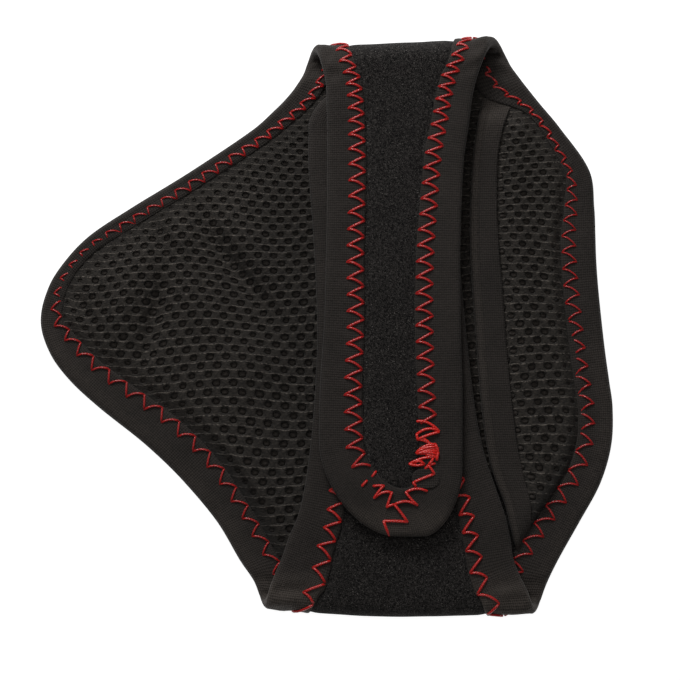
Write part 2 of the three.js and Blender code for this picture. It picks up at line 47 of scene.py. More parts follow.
# The brace is one long cloth, folded twice. Its own coordinates, in millimetres, are along
# (bottom strap's tip, over the pad, to the top strap's tip), across (X) and deep (in from the outer face).
cloth = {
    "panelThick": 2.0,
    "tapeThick": 0.9,
    "meshThick": 3.5,
    "meshPinched": 1.2,
    "meshPressed": 1.8,
    "gap": 0.3,
    "topReach": 107.5,
    "bottomReach": 107.2,
    "topSlant": (3.0, -3.0, 63.0),       # fall of the top fold, from this X to that X
    "bottomBow": (3.9, 1.9, 27.0, 50.0),  # rise of the bottom fold's two ends, its middle and half width
    "leanFade": 45.0,
    "padBackTape": 13.0,
    "strapBackShare": 0.85,
    "squareReach": 14.0,
    "tipPower": 1.75,
    "tapeDrop": (94.0, 99.0),
    "mostWidened": 6.0,
    "outline": (1.15, 22),  # step on the outline, and points of a tip's corner
    "sinkStart": 15.0,
    "sinkReach": 16.0,
    "foldSinkStart": 3.0,
    # y, left edge, right edge, visible binding at the left and at the right
    "pad": (
        (-100, -26.2, 80.7, 13.5, 17),
        (-90, -32.1, 85.0, 13.5, 16),
        (-73, -41.0, 93.9, 13.8, 14.7),
        (-58, -52.6, 101.7, 15.1, 13.3),
        (-44, -67.0, 105.7, 15.1, 13.1),
        (-30, -84.5, 106.2, 14, 13),
        (-20, -95.3, 104.9, 13, 13.1),
        (-10, -102.6, 103.5, 12, 13.2),
        (2, -106.1, 102.1, 8.6, 13.3),
        (15, -103.0, 100.8, 6.8, 13.3),
        (25, -96.5, 100.1, 6.0, 13.2),
        (34, -87.6, 99.8, 6.2, 13),
        (44, -72.5, 99.4, 6.5, 11.5),
        (58, -49.8, 97.5, 6.8, 9.5),
        (74, -27.7, 86.4, 7.6, 6.4),
        (83, -18.6, 78.9, 8.4, 6.3),
        (87.5, -14.6, 75.3, 9, 9.5),
        (92, -11.3, 71.8, 9.6, 15.3),
        (98, -8.0, 67.7, 10.4, 16.2),
    ),
    "topStrap": (
        (98, -1.4, 57.6, 12.5, 13),
        (92, -0.2, 55.5, 13.2, 13.3),
        (85, 0.0, 53.9, 13.8, 13.6),
        (75, 0.2, 52.6, 14.1, 14.1),
        (62, 0.2, 50.8, 14.4, 14.8),
        (46, 0.2, 49.9, 14.3, 15.4),
        (25, -0.2, 49.4, 14.2, 16.5),
        (1, -0.9, 49.6, 15, 17),
        (-22, -2.4, 50.2, 15.7, 16.9),
        (-42, -2.8, 50.2, 16.5, 16),
    ),
    "bottomStrap": (
        (-100, -21.0, 74.6, 18.7, 18.3),
        (-94, -18.9, 71.8, 18.7, 17.7),
        (-87, -16.3, 69.2, 18.2, 17.3),
        (-79, -13.9, 68.0, 17.3, 17.4),
        (-70, -10.4, 66.0, 16.5, 17.2),
        (-60, -8.2, 62.7, 15.5, 16),
        (-47, -6.3, 58.4, 14.5, 15.4),
        (-30, -4.6, 55.0, 13, 13),
        (-7, -3.5, 52.2, 13, 13),
        (10, -3.7, 50.5, 13, 13),
        (35, -5.0, 48.2, 13, 13),
        (60, -6.7, 45.8, 13, 13),
        (74, -6.6, 45.2, 13, 13),
    ),
    # rounded tips: the corner's reach along and across, and across at the binding's inner edge
    "topTip": {"endY": -77.5, "tape": 17.8, "left": (35, 28, 14.4), "right": (24.4, 14, 5.7)},
    "bottomTip": {"endY": 89, "tape": 13, "left": (15, 16.7, 6), "right": (15, 16.7, 6)},
}

gap = cloth["gap"]
tapeStep = cloth["tapeThick"] + gap
meshFloor = cloth["panelThick"] + gap
meshLower = meshFloor + gap
padLevel = tapeStep
bottomLevel = padLevel + meshFloor + cloth["meshThick"] + gap + tapeStep + cloth["panelThick"]
topLevel = bottomLevel + tapeStep + gap + tapeStep + cloth["panelThick"]
topRadius = (topLevel - padLevel) / 2
bottomRadius = (bottomLevel - padLevel) / 2
topFoldY = cloth["topReach"] - topRadius - tapeStep
bottomFoldY = bottomRadius - cloth["bottomReach"]
topTurn = math.pi * topRadius
bottomTurn = math.pi * bottomRadius


def lerp(a, b, share):
    return a + (b - a) * share


def smooth(value, start, end):
    t = np.clip((np.asarray(value, float) - start) / (end - start), 0, 1)
    return t * t * (3 - 2 * t)


# distance along a line of points, from its first one
def distanceAlong(line):
    return np.concatenate([[0], np.linalg.norm(np.diff(line, axis=0), axis=1).cumsum()])


def curveThrough(rows, column):
    table = np.array(rows, float)
    at, to = table[:, 0], table[:, column]
    before = np.maximum(np.arange(len(at)) - 1, 0)
    after = np.minimum(np.arange(len(at)) + 1, len(at) - 1)
    slopes = (to[after] - to[before]) / (at[after] - at[before])

    def curve(value):
        spot = np.clip(value, at[0], at[-1])
        i = np.clip(np.searchsorted(at, spot) - 1, 0, len(at) - 2)
        span = at[i + 1] - at[i]
        t = (spot - at[i]) / span
        rise = to[i + 1] - to[i]
        bend = (slopes[i] * span - rise) * (1 - t) + (rise - slopes[i + 1] * span) * t
        return to[i] + rise * t + bend * t * (1 - t)

    return curve


def topStrapAlong(y):
    return 2 * topFoldY + topTurn - y


def bottomStrapAlong(y):
    return 2 * bottomFoldY - bottomTurn - y


sections = [(bottomStrapAlong(row[0]), *row[1:]) for row in reversed(cloth["bottomStrap"])]
sections += list(cloth["pad"])
sections += [(topStrapAlong(row[0]), *row[1:]) for row in cloth["topStrap"]]
sides = {
    "left": {"edge": curveThrough(sections, 1), "tape": curveThrough(sections, 3), "inward": 1},
    "right": {"edge": curveThrough(sections, 2), "tape": curveThrough(sections, 4), "inward": -1},
}
tips = [
    {**cloth["topTip"], "end": topStrapAlong(cloth["topTip"]["endY"]), "way": 1},
    {**cloth["bottomTip"], "end": bottomStrapAlong(cloth["bottomTip"]["endY"]), "way": -1},
]


# how far along the cloth it is to the turn of the top fold, and of the bottom fold
def offFolds(along):
    top = np.maximum(np.maximum(topFoldY - along, along - topFoldY - topTurn), 0)
    bottom = np.maximum(np.maximum(bottomFoldY - bottomTurn - along, along - bottomFoldY), 0)
    return top, bottom


# lean of the two folds, fading out along the layers
def lean(along, across):
    fall, fromX, toX = cloth["topSlant"]
    leftRise, rightRise, middle, half = cloth["bottomBow"]
    slant = np.clip((toX - across) / (toX - fromX), 0, 1)
    bow = np.minimum(((across - middle) / half) ** 2, 1)
    atTop, atBottom = (1 - smooth(off, 0, cloth["leanFade"]) for off in offFolds(along))
    rise = np.where(across < middle, leftRise, rightRise)
    return rise * bow * atBottom - fall * slant * atTop


# from cloth coordinates to a place in the folded brace, in millimetres
def place(along, across, deep):
    along, across, deep = np.broadcast_arrays(*(np.asarray(v, float) for v in (along, across, deep)))
    top = np.clip((along - topFoldY) / topRadius, 0, math.pi)
    bottom = np.clip((bottomFoldY - along) / bottomRadius, 0, math.pi)
    y = np.clip(along, bottomFoldY, topFoldY) + topRadius * np.sin(top) - bottomRadius * np.sin(bottom)
    y += np.maximum(bottomFoldY - bottomTurn - along, 0) - np.maximum(along - topFoldY - topTurn, 0)
    z = padLevel + topRadius * (1 - np.cos(top)) + bottomRadius * (1 - np.cos(bottom))
    y = y + deep * (np.sin(bottom) - np.sin(top)) + lean(along, across)
    z = z + deep * np.cos(top) * np.cos(bottom) - sink(along, across)
    return np.stack([across, y, z], axis=-1)


def tipTerms(side, along):
    share, width, turn, tape, way = (np.zeros(np.shape(along)) for _ in range(5))
    for tip in tips:
        length, tipWidth, tipTurn = tip[side]
        here = np.clip(1 - (tip["end"] - along) * tip["way"] / length, 0, 1)
        share = np.where(here > 0, here, share)
        width = np.where(here > 0, tipWidth, width)
        turn = np.where(here > 0, tipTurn, turn)
        tape = np.where(here > 0, tip["tape"], tape)
        way = np.where(here > 0, tip["way"], way)
    corner = 1 - (1 - share ** cloth["tipPower"]) ** (1 / cloth["tipPower"])
    return share, width, turn, tape, way, corner


def edgeAcross(side, along):
    _, width, _, _, _, corner = tipTerms(side, along)
    return sides[side]["edge"](along) + sides[side]["inward"] * width * corner


# measured over one millimetre
def edgeSlope(side, along):
    return edgeAcross(side, along + 0.5) - edgeAcross(side, along - 0.5)


# how much wider a distance square to an edge is when it is measured across
def widen(side, along):
    return np.minimum(np.hypot(1, edgeSlope(side, along)), cloth["mostWidened"])


def onStrap(along):
    overTop = smooth(along, topFoldY, topFoldY + topTurn)
    overBottom = smooth(-along, -bottomFoldY, bottomTurn - bottomFoldY)
    return np.maximum(overTop, overBottom)


def nearFold(along):
    return 1 - smooth(np.minimum(*offFolds(along)), 0, cloth["squareReach"])


# points of the outline with the ways in to the binding's inner edges: outer face, inner face
def stations(side, along):
    share, width, turn, tipTape, way, corner = tipTerms(side, along)
    inward = sides[side]["inward"]
    shown = sides[side]["tape"](along)
    across = edgeAcross(side, along)
    slope = edgeSlope(side, along) * (1 - nearFold(along))
    square = np.stack([-slope * inward, np.full(len(along), float(inward))], axis=1)
    square /= np.linalg.norm(square, axis=1)[:, None]
    strapped = onStrap(along)
    backTape = np.maximum(cloth["padBackTape"], shown)
    outer = square * lerp(backTape, shown, strapped)[:, None]
    inner = square * (shown * lerp(1, cloth["strapBackShare"], strapped))[:, None]
    tipWay = np.stack([-way * tipTape * share, inward * (shown + (turn - width) * corner)], axis=1)
    inTip = (share > 0)[:, None]
    outer = np.where(inTip, tipWay, outer)
    inner = np.where(inTip, tipWay * cloth["strapBackShare"], inner)
    return np.stack([along, across], axis=1), outer, inner


# places along one side of the cloth, an even step apart on its outline
def sidePlaces(side, step, tipCount):
    finePoints = 3000
    top, bottom = tips
    bottomRound = bottom["end"] + bottom[side][0]
    topRound = top["end"] - top[side][0]
    shares = np.sin(np.linspace(0, math.pi / 2, tipCount)) ** (2 / cloth["tipPower"])
    fine = np.linspace(bottomRound, topRound, finePoints)
    run = np.hypot(np.gradient(fine), np.gradient(edgeAcross(side, fine))).cumsum()
    even = np.interp(np.linspace(run[0], run[-1], round((run[-1] - run[0]) / step)), run, fine)
    return np.concatenate([
        bottomRound - shares[:0:-1] * bottom[side][0],
        even,
        topRound + shares[1:] * top[side][0],
    ])


# the whole outline as one loop of stations, with straight runs across both tips
def outlineLoop(step, tipCount):
    left = stations("left", sidePlaces("left", step, tipCount))
    right = [part[::-1] for part in stations("right", sidePlaces("right", step, tipCount))]

    def across(start, end):
        count = max(round(np.linalg.norm(end[0] - start[0]) / step), 2)
        shares = np.linspace(0, 1, count + 1)[1:-1, None]
        return [lerp(a, b, shares) for a, b in zip(start, end)]

    topRun = across([part[-1] for part in left], [part[0] for part in right])
    bottomRun = across([part[-1] for part in right], [part[0] for part in left])
    return [np.concatenate(parts) for parts in zip(left, topRun, right, bottomRun)]


# distance to the outline and clear room inside the binding, worked out on a grid over the pad
field = {
    "step": 1.0,
    "margin": 6,           # past the two folds
    "reach": 112,          # to the left and right
    "outline": (2.5, 10),  # step on the outline it measures to, and points of a tip's corner
}
fieldAlong = np.arange(bottomFoldY - field["margin"], topFoldY + field["margin"], field["step"])
fieldAcross = np.arange(-field["reach"], field["reach"], field["step"])


def padFields():
    at, _, inner = outlineLoop(*field["outline"])
    tape = np.linalg.norm(inner, axis=1)
    points = np.stack(np.meshgrid(fieldAlong, fieldAcross, indexing="ij"), axis=-1)
    nearest = np.full(points.shape[:2], 1e9)
    width = np.zeros(points.shape[:2])
    for i in range(len(at)):
        start, end = at[i], at[(i + 1) % len(at)]
        run = end - start
        share = np.clip(((points - start) @ run) / max(run @ run, 1e-9), 0, 1)
        distance = np.linalg.norm(points - start - share[..., None] * run, axis=-1)
        closer = distance < nearest
        nearest = np.where(closer, distance, nearest)
        width = np.where(closer, lerp(tape[i], tape[(i + 1) % len(at)], share), width)
    return nearest, nearest - width


# a value between the points of the grid; the clip keeps it off the last row
def sampled(grid, along, across):
    u = np.clip((along - fieldAlong[0]) / field["step"], 0, len(fieldAlong) - 1.001)
    v = np.clip((across - fieldAcross[0]) / field["step"], 0, len(fieldAcross) - 1.001)
    i, j = u.astype(int), v.astype(int)
    a, b = u - i, v - j
    near = lerp(grid[i, j], grid[i, j + 1], b)
    far = lerp(grid[i + 1, j], grid[i + 1, j + 1], b)
    return lerp(near, far, a)


edgeField, clearField = padFields()


def clearOfTape(along, across):
    return sampled(clearField, along, across)


def sink(along, across):
    toFold = np.minimum(topFoldY - along, along - bottomFoldY) - cloth["foldSinkStart"]
    inside = np.minimum(toFold, sampled(edgeField, along, across) - cloth["sinkStart"])
    return padLevel * smooth(inside, 0, cloth["sinkReach"])


# height of what the binding wraps: panel and pinched mesh on the pad, the panel alone on the straps
def stackHeight(along):
    pad = meshFloor + cloth["meshPinched"]
    return lerp(pad, cloth["panelThick"], smooth(np.abs(along), *cloth["tapeDrop"]))


# slow uneven swell of soft cloth, about -1 to 1
def swell(along, across, size):
    a, b = along / size, across / size
    return (np.sin(a + 1.7 * np.sin(0.6 * b)) + np.sin(1.3 * b + 2.1 * np.cos(0.7 * a) + 1)) / 2


print("cloth map ready")


def hexColor(code):
    channels = [int(code[i:i + 2], 16) / 255 for i in (1, 3, 5)]
    linear = [c / 12.92 if c <= 0.04045 else ((c + 0.055) / 1.055) ** 2.4 for c in channels]
    return (*linear, 1.0)


# one node with its settings, and its inputs set or linked
# (a colour Mix has its share in input 0, its two colours in 6 and 7, and its result in output 2)
def addNode(tree, kind, settings=None, inputs=None):
    node = tree.nodes.new(kind)
    for name, value in (settings or {}).items():
        setattr(node, name, value)
    for name, value in (inputs or {}).items():
        if isinstance(value, bpy.types.NodeSocket):
            tree.links.new(value, node.inputs[name])
        else:
            node.inputs[name].default_value = value
    return node


def newMaterial(name, constants):
    material = bpy.data.materials.new(name)
    material.use_nodes = True
    tree = material.node_tree
    tree.nodes.clear()
    shader = addNode(tree, "ShaderNodeBsdfPrincipled", None, constants)
    addNode(tree, "ShaderNodeOutputMaterial", None, {"Surface": shader.outputs["BSDF"]})
    return material, tree, shader


# texture scale for a pattern of this size, on coordinates in metres
def perMetre(sizeMm):
    return 1000 / sizeMm


# Brushed loop velvet: napped nylon loops, so a deep matte black with tiny curled fibres that catch light,
# shown by painted highlights on a few fibre ends
velvetLook = {
    "deep": "#060505",
    "fibre": "#393634",
    "paintedGlintTone": "#716d69",
    "curl": 0.6,
    "paintedGlintSize": 0.42,
    "cloud": 9.0,
    "wear": (0.5, 0.72),    # how much the clouds change the pile, and its least share
    "lit": (0.45, 0.62),    # between these the curls go from deep to fibre
    "paintedGlint": (0.65, 0.77),  # above these a fibre end is painted pale, a painted highlight
    "bump": 0.5,
}


def loopVelvet():
    look = velvetLook
    material, tree, shader = newMaterial("loopVelvet", {
        "Roughness": 0.95,
        "Specular IOR Level": 0.08,
        "Sheen Weight": 0.06,
        "Sheen Roughness": 0.6,
    })
    spot = addNode(tree, "ShaderNodeTexCoord").outputs["Object"]
    curls = addNode(tree, "ShaderNodeTexNoise", None, {
        "Vector": spot, "Scale": perMetre(look["curl"]), "Detail": 2.0, "Roughness": 0.6, "Distortion": 1.5})
    cloud = addNode(tree, "ShaderNodeTexNoise", None, {
        "Vector": spot, "Scale": perMetre(look["cloud"]), "Detail": 2.0})
    ends = addNode(tree, "ShaderNodeTexNoise", None, {
        "Vector": spot, "Scale": perMetre(look["paintedGlintSize"]), "Detail": 1.0})
    lit = addNode(tree, "ShaderNodeMapRange", None, {
        "Value": curls.outputs["Fac"], "From Min": look["lit"][0], "From Max": look["lit"][1]})
    worn = addNode(tree, "ShaderNodeMath", {"operation": "MULTIPLY_ADD"}, {
        0: cloud.outputs["Fac"], 1: look["wear"][0], 2: look["wear"][1]})
    share = addNode(tree, "ShaderNodeMath", {"operation": "MULTIPLY", "use_clamp": True}, {
        0: lit.outputs["Result"], 1: worn.outputs[0]})
    curled = addNode(tree, "ShaderNodeMix", {"data_type": "RGBA"}, {
        0: share.outputs[0], 6: hexColor(look["deep"]), 7: hexColor(look["fibre"])})
    # a few fibre ends are painted pale: painted highlights where they catch the light
    paintedGlint = addNode(tree, "ShaderNodeMapRange", None, {
        "Value": ends.outputs["Fac"], "From Min": look["paintedGlint"][0], "From Max": look["paintedGlint"][1]})
    color = addNode(tree, "ShaderNodeMix", {"data_type": "RGBA"}, {
        0: paintedGlint.outputs["Result"], 6: curled.outputs[2], 7: hexColor(look["paintedGlintTone"])})
    pile = addNode(tree, "ShaderNodeBump", None, {
        "Strength": 0.9, "Distance": look["bump"] * mm, "Height": curls.outputs["Fac"]})
    tree.links.new(color.outputs[2], shader.inputs["Base Color"])
    tree.links.new(pile.outputs[0], shader.inputs["Normal"])
    return material


# Stretch binding tape: fine warp knit polyester, dull, with ribs across it and knit columns along it
tapeLook = {
    "deep": "#1a1816",
    "yarn": "#37322f",
    "pale": "#524b45",
    "ribPitch": 0.9,       # the real ribs are about 0.6 mm, drawn wider so that they show
    "columnPitch": 0.8,
    "ribShare": 0.5,
    "columnShare": 0.45,
    "fleck": 0.7,
    "fleckShare": 2.0,
    "shake": 0.5,          # millimetres
    "cloud": 14.0,
    "cloudShare": 1.4,
    "tone": (0.4, 3.0),    # between these heights the knit goes from deep to yarn
    "bump": 0.13,
}


def bindingTape():
    look = tapeLook
    material, tree, shader = newMaterial("bindingTapeKnit", {
        "Roughness": 0.82,
        "Specular IOR Level": 0.16,
        "Sheen Weight": 0.05,
        "Sheen Roughness": 0.5,
    })
    uv = addNode(tree, "ShaderNodeUVMap", {"uv_map": "clothMap"}).outputs[0]
    parts = addNode(tree, "ShaderNodeSeparateXYZ", None, {"Vector": uv})
    spot = addNode(tree, "ShaderNodeTexCoord").outputs["Object"]
    fleck = addNode(tree, "ShaderNodeTexNoise", None, {
        "Vector": spot, "Scale": perMetre(look["fleck"]), "Detail": 2.0})
    cloud = addNode(tree, "ShaderNodeTexNoise", None, {
        "Vector": spot, "Scale": perMetre(look["cloud"]), "Detail": 2.0})
    height = addNode(tree, "ShaderNodeMath", {"operation": "MULTIPLY"}, {
        0: fleck.outputs["Fac"], 1: look["fleckShare"]})
    # the flecks also shake the ribs and columns out of a straight line
    for output, pitch, strength in (
            ("X", look["ribPitch"], look["ribShare"]), ("Y", look["columnPitch"], look["columnShare"])):
        shaken = addNode(tree, "ShaderNodeMath", {"operation": "MULTIPLY_ADD"}, {
            0: fleck.outputs["Fac"], 1: look["shake"], 2: parts.outputs[output]})
        turn = addNode(tree, "ShaderNodeMath", {"operation": "MULTIPLY"}, {
            0: shaken.outputs[0], 1: 2 * math.pi / pitch})
        wave = addNode(tree, "ShaderNodeMath", {"operation": "SINE"}, {0: turn.outputs[0]})
        height = addNode(tree, "ShaderNodeMath", {"operation": "MULTIPLY_ADD"}, {
            0: wave.outputs[0], 1: strength, 2: height.outputs[0]})
    tone = addNode(tree, "ShaderNodeMath", {"operation": "MULTIPLY_ADD"}, {
        0: cloud.outputs["Fac"], 1: look["cloudShare"], 2: height.outputs[0]})
    share = addNode(tree, "ShaderNodeMapRange", None, {
        "Value": tone.outputs[0], "From Min": look["tone"][0], "From Max": look["tone"][1]})
    knitted = addNode(tree, "ShaderNodeMix", {"data_type": "RGBA"}, {
        0: share.outputs["Result"], 6: hexColor(look["deep"]), 7: hexColor(look["yarn"])})
    # bent is stored on the tape: how much paler its ribs are painted, as painted sheen where it turns and
    # stretches over the folds, painted highlights on the top strap's end and on the strip's lip and top end,
    # and paler near the pad's lower outline
    bent = addNode(tree, "ShaderNodeAttribute", {"attribute_name": "bent"})
    paler = addNode(tree, "ShaderNodeMath", {"operation": "MULTIPLY"}, {
        0: bent.outputs["Fac"], 1: share.outputs["Result"]})
    color = addNode(tree, "ShaderNodeMix", {"data_type": "RGBA"}, {
        0: paler.outputs[0], 6: knitted.outputs[2], 7: hexColor(look["pale"])})
    weave = addNode(tree, "ShaderNodeBump", None, {
        "Strength": 0.7, "Distance": look["bump"] * mm, "Height": height.outputs[0]})
    tree.links.new(color.outputs[2], shader.inputs["Base Color"])
    tree.links.new(weave.outputs[0], shader.inputs["Normal"])
    return material


# The lattice of the spacer mesh: holes in staggered rows
lattice = {
    "pitch": 5.95,         # hole to hole along a row
    "row": 3.08,           # row to row, each shifted by half a pitch
    "hole": (1.42, 1.12),  # half width and half height
    "squareness": 3.0,
    "sidesPerEdge": 4,
    "rimShare": 0.3,       # from the hole out to the cell's edge
    "rimDrop": 0.1,
    "lipDrop": 0.4,
    "baseDrop": 1.15,
    "baseShare": 0.9,
    "stretch": (0.0019, 0.0031),  # growth of pitch and row for each millimetre down the pad
    "gather": 0.38,        # how far the waves carry the rows along, as a share of their height
    "backing": 0.5,
    "backingRoom": 1.1,    # the holes end over the backing, by this share of it
    "thinnest": 0.05,      # least share of a hole's depth
    "cells": 60,           # on each slanting line, both ways from the middle
    "weld": 0.02,
    "unevenHoles": 0.07,
    "closing": (0.5, 7.0),  # clear of the binding, where the holes start to open and are whole
    "closed": 0.35,
    "seed": 11,
    "bend": (1.1, 62.0),   # how far the rows bow, and over what length
}

# Knitted spacer mesh: dull polyester yarn round open holes, with a lighter yarn laid in between the rows
meshLook = {
    "deep": "#0e0d0c",
    "yarn": "#3a3530",
    "laid": "#6c655e",
    "inside": "#322d29",
    # colour of the painted shade in creases
    "crease": "#0b0a0a",
    "fibre": (0.9, 0.42),   # streaks of the yarn, long and narrow
    "streaks": (0.34, 0.68),
    "laidWave": 0.12,
    "laidLine": (-0.8, -1.0),
    "laidWear": (0.43, 0.66),
    "laidRelief": 0.4,
    "bump": 0.4,
}


def spacerMesh():
    look = meshLook
    material, tree, shader = newMaterial("spacerMeshKnit", {
        "Roughness": 0.75,
        "Specular IOR Level": 0.2,
        "Sheen Weight": 0.04,
        "Sheen Roughness": 0.5,
    })
    uv = addNode(tree, "ShaderNodeUVMap", {"uv_map": "clothMap"}).outputs[0]
    parts = addNode(tree, "ShaderNodeSeparateXYZ", None, {"Vector": uv})
    fibreUv = addNode(tree, "ShaderNodeMapping", None, {
        "Vector": uv, "Scale": (1 / look["fibre"][0], 1 / look["fibre"][1], 1.0)})
    fibre = addNode(tree, "ShaderNodeTexNoise", None, {
        "Vector": fibreUv.outputs[0], "Scale": 1.0, "Detail": 3.0, "Roughness": 0.65, "Distortion": 0.6})
    # the laid yarn runs midway between two rows and bends round the holes of both
    turn = addNode(tree, "ShaderNodeMath", {"operation": "MULTIPLY"}, {
        0: parts.outputs["X"], 1: 2 * math.pi / lattice["pitch"]})
    bend = addNode(tree, "ShaderNodeMath", {"operation": "COSINE"}, {0: turn.outputs[0]})
    level = addNode(tree, "ShaderNodeMath", {"operation": "DIVIDE"}, {
        0: parts.outputs["Y"], 1: lattice["row"]})
    below = addNode(tree, "ShaderNodeMath", {"operation": "FLOOR"}, {0: level.outputs[0]})
    flip = addNode(tree, "ShaderNodeMath", {"operation": "MULTIPLY"}, {0: below.outputs[0], 1: math.pi})
    way = addNode(tree, "ShaderNodeMath", {"operation": "COSINE"}, {0: flip.outputs[0]})
    wave = addNode(tree, "ShaderNodeMath", {"operation": "MULTIPLY"}, {0: bend.outputs[0], 1: way.outputs[0]})
    shifted = addNode(tree, "ShaderNodeMath", {"operation": "MULTIPLY_ADD"}, {
        0: wave.outputs[0], 1: -look["laidWave"] / lattice["row"], 2: level.outputs[0]})
    rounds = addNode(tree, "ShaderNodeMath", {"operation": "MULTIPLY"}, {
        0: shifted.outputs[0], 1: 2 * math.pi})
    ridge = addNode(tree, "ShaderNodeMath", {"operation": "COSINE"}, {0: rounds.outputs[0]})
    line = addNode(tree, "ShaderNodeMapRange", {"interpolation_type": "SMOOTHSTEP"}, {
        "Value": ridge.outputs[0], "From Min": look["laidLine"][0], "From Max": look["laidLine"][1]})
    worn = addNode(tree, "ShaderNodeMapRange", None, {
        "Value": fibre.outputs["Fac"], "From Min": look["laidWear"][0], "From Max": look["laidWear"][1]})
    broken = addNode(tree, "ShaderNodeMath", {"operation": "MULTIPLY"}, {
        0: line.outputs["Result"], 1: worn.outputs["Result"]})
    # drop, in millimetres, is stored on the mesh: the spacer yarns inside a hole have a tone of their own
    drop = addNode(tree, "ShaderNodeAttribute", {"attribute_name": "drop"})
    inside = addNode(tree, "ShaderNodeMapRange", None, {
        "Value": drop.outputs["Fac"], "From Min": lattice["lipDrop"], "From Max": lattice["baseDrop"]})
    share = addNode(tree, "ShaderNodeMapRange", None, {
        "Value": fibre.outputs["Fac"], "From Min": look["streaks"][0], "From Max": look["streaks"][1]})
    base = addNode(tree, "ShaderNodeMix", {"data_type": "RGBA"}, {
        0: share.outputs["Result"], 6: hexColor(look["deep"]), 7: hexColor(look["yarn"])})
    knitted = addNode(tree, "ShaderNodeMix", {"data_type": "RGBA"}, {
        0: broken.outputs[0], 6: base.outputs[2], 7: hexColor(look["laid"])})
    holed = addNode(tree, "ShaderNodeMix", {"data_type": "RGBA"}, {
        0: inside.outputs["Result"], 6: knitted.outputs[2], 7: hexColor(look["inside"])})
    # a painted shade is stored too: darker in the crease beside the seam, where the knit is also squeezed
    # closed, and beside the strap
    crease = addNode(tree, "ShaderNodeAttribute", {"attribute_name": "crease"})
    color = addNode(tree, "ShaderNodeMix", {"data_type": "RGBA"}, {
        0: crease.outputs["Fac"], 6: holed.outputs[2], 7: hexColor(look["crease"])})
    height = addNode(tree, "ShaderNodeMath", {"operation": "MULTIPLY_ADD"}, {
        0: line.outputs["Result"], 1: look["laidRelief"], 2: fibre.outputs["Fac"]})
    knit = addNode(tree, "ShaderNodeBump", None, {
        "Strength": 0.8, "Distance": look["bump"] * mm, "Height": height.outputs[0]})
    tree.links.new(color.outputs[2], shader.inputs["Base Color"])
    tree.links.new(knit.outputs[0], shader.inputs["Normal"])
    return material


# Twisted polyester sewing thread: bright red plies with a soft gloss, darker in the grooves between them
threadLook = {
    "groove": "#74070a",
    "ply": "#ad1311",
    "fresh": "#e61f10",     # painted light of the dense tack, where light goes from thread to thread
    "plies": 3,
    "lay": 3.0,
    "grooves": (-1.0, 0.2),  # between these heights of the twist the thread goes from groove to ply
    "bump": 0.05,
}


def redThread():
    look = threadLook
    material, tree, shader = newMaterial("redThread", {
        "Roughness": 0.3,
        "Specular IOR Level": 0.55,
        "Sheen Weight": 0.06,
    })
    # runLength, in metres, and around, a place round the thread's middle, are stored on the tube
    run = addNode(tree, "ShaderNodeAttribute", {"attribute_name": "runLength"})
    around = addNode(tree, "ShaderNodeAttribute", {"attribute_name": "around"})
    parts = addNode(tree, "ShaderNodeSeparateXYZ", None, {"Vector": around.outputs["Vector"]})
    angle = addNode(tree, "ShaderNodeMath", {"operation": "ARCTAN2"}, {
        0: parts.outputs["Y"], 1: parts.outputs["X"]})
    twisted = addNode(tree, "ShaderNodeMath", {"operation": "MULTIPLY_ADD"}, {
        0: run.outputs["Fac"], 1: 2 * math.pi * perMetre(look["lay"]), 2: angle.outputs[0]})
    turns = addNode(tree, "ShaderNodeMath", {"operation": "MULTIPLY"}, {
        0: twisted.outputs[0], 1: float(look["plies"])})
    ply = addNode(tree, "ShaderNodeMath", {"operation": "SINE"}, {0: turns.outputs[0]})
    share = addNode(tree, "ShaderNodeMapRange", None, {
        "Value": ply.outputs[0], "From Min": look["grooves"][0], "From Max": look["grooves"][1]})
    plain = addNode(tree, "ShaderNodeMix", {"data_type": "RGBA"}, {
        0: share.outputs["Result"], 6: hexColor(look["groove"]), 7: hexColor(look["ply"])})
    # a brightness is stored too: how much brighter the thread is painted, painted light in the dense tack
    fresh = addNode(tree, "ShaderNodeAttribute", {"attribute_name": "fresh"})
    color = addNode(tree, "ShaderNodeMix", {"data_type": "RGBA"}, {
        0: fresh.outputs["Fac"], 6: plain.outputs[2], 7: hexColor(look["fresh"])})
    twist = addNode(tree, "ShaderNodeBump", None, {
        "Strength": 0.5, "Distance": look["bump"] * mm, "Height": ply.outputs[0]})
    tree.links.new(color.outputs[2], shader.inputs["Base Color"])
    tree.links.new(twist.outputs[0], shader.inputs["Normal"])
    return material


# Nylon hook tape: black woven ground with stiff, slightly glossy hooks
hookLook = {"deep": "#121111", "ground": "#242221", "weave": 0.6, "bump": 0.1}


def hookNylon():
    look = hookLook
    material, tree, shader = newMaterial("hookNylon", {"Roughness": 0.55, "Specular IOR Level": 0.35})
    spot = addNode(tree, "ShaderNodeTexCoord").outputs["Object"]
    weave = addNode(tree, "ShaderNodeTexNoise", None, {
        "Vector": spot, "Scale": perMetre(look["weave"]), "Detail": 2.0})
    color = addNode(tree, "ShaderNodeMix", {"data_type": "RGBA"}, {
        0: weave.outputs["Fac"], 6: hexColor(look["deep"]), 7: hexColor(look["ground"])})
    bump = addNode(tree, "ShaderNodeBump", None, {
        "Strength": 0.5, "Distance": look["bump"] * mm, "Height": weave.outputs["Fac"]})
    tree.links.new(color.outputs[2], shader.inputs["Base Color"])
    tree.links.new(bump.outputs[0], shader.inputs["Normal"])
    return material


finishes = {
    "loop_velvet": loopVelvet(),
    "binding_tape": bindingTape(),
    "spacer_mesh": spacerMesh(),
    "red_thread": redThread(),
    "hook_nylon": hookNylon(),
}
print("materials made:", len(finishes))


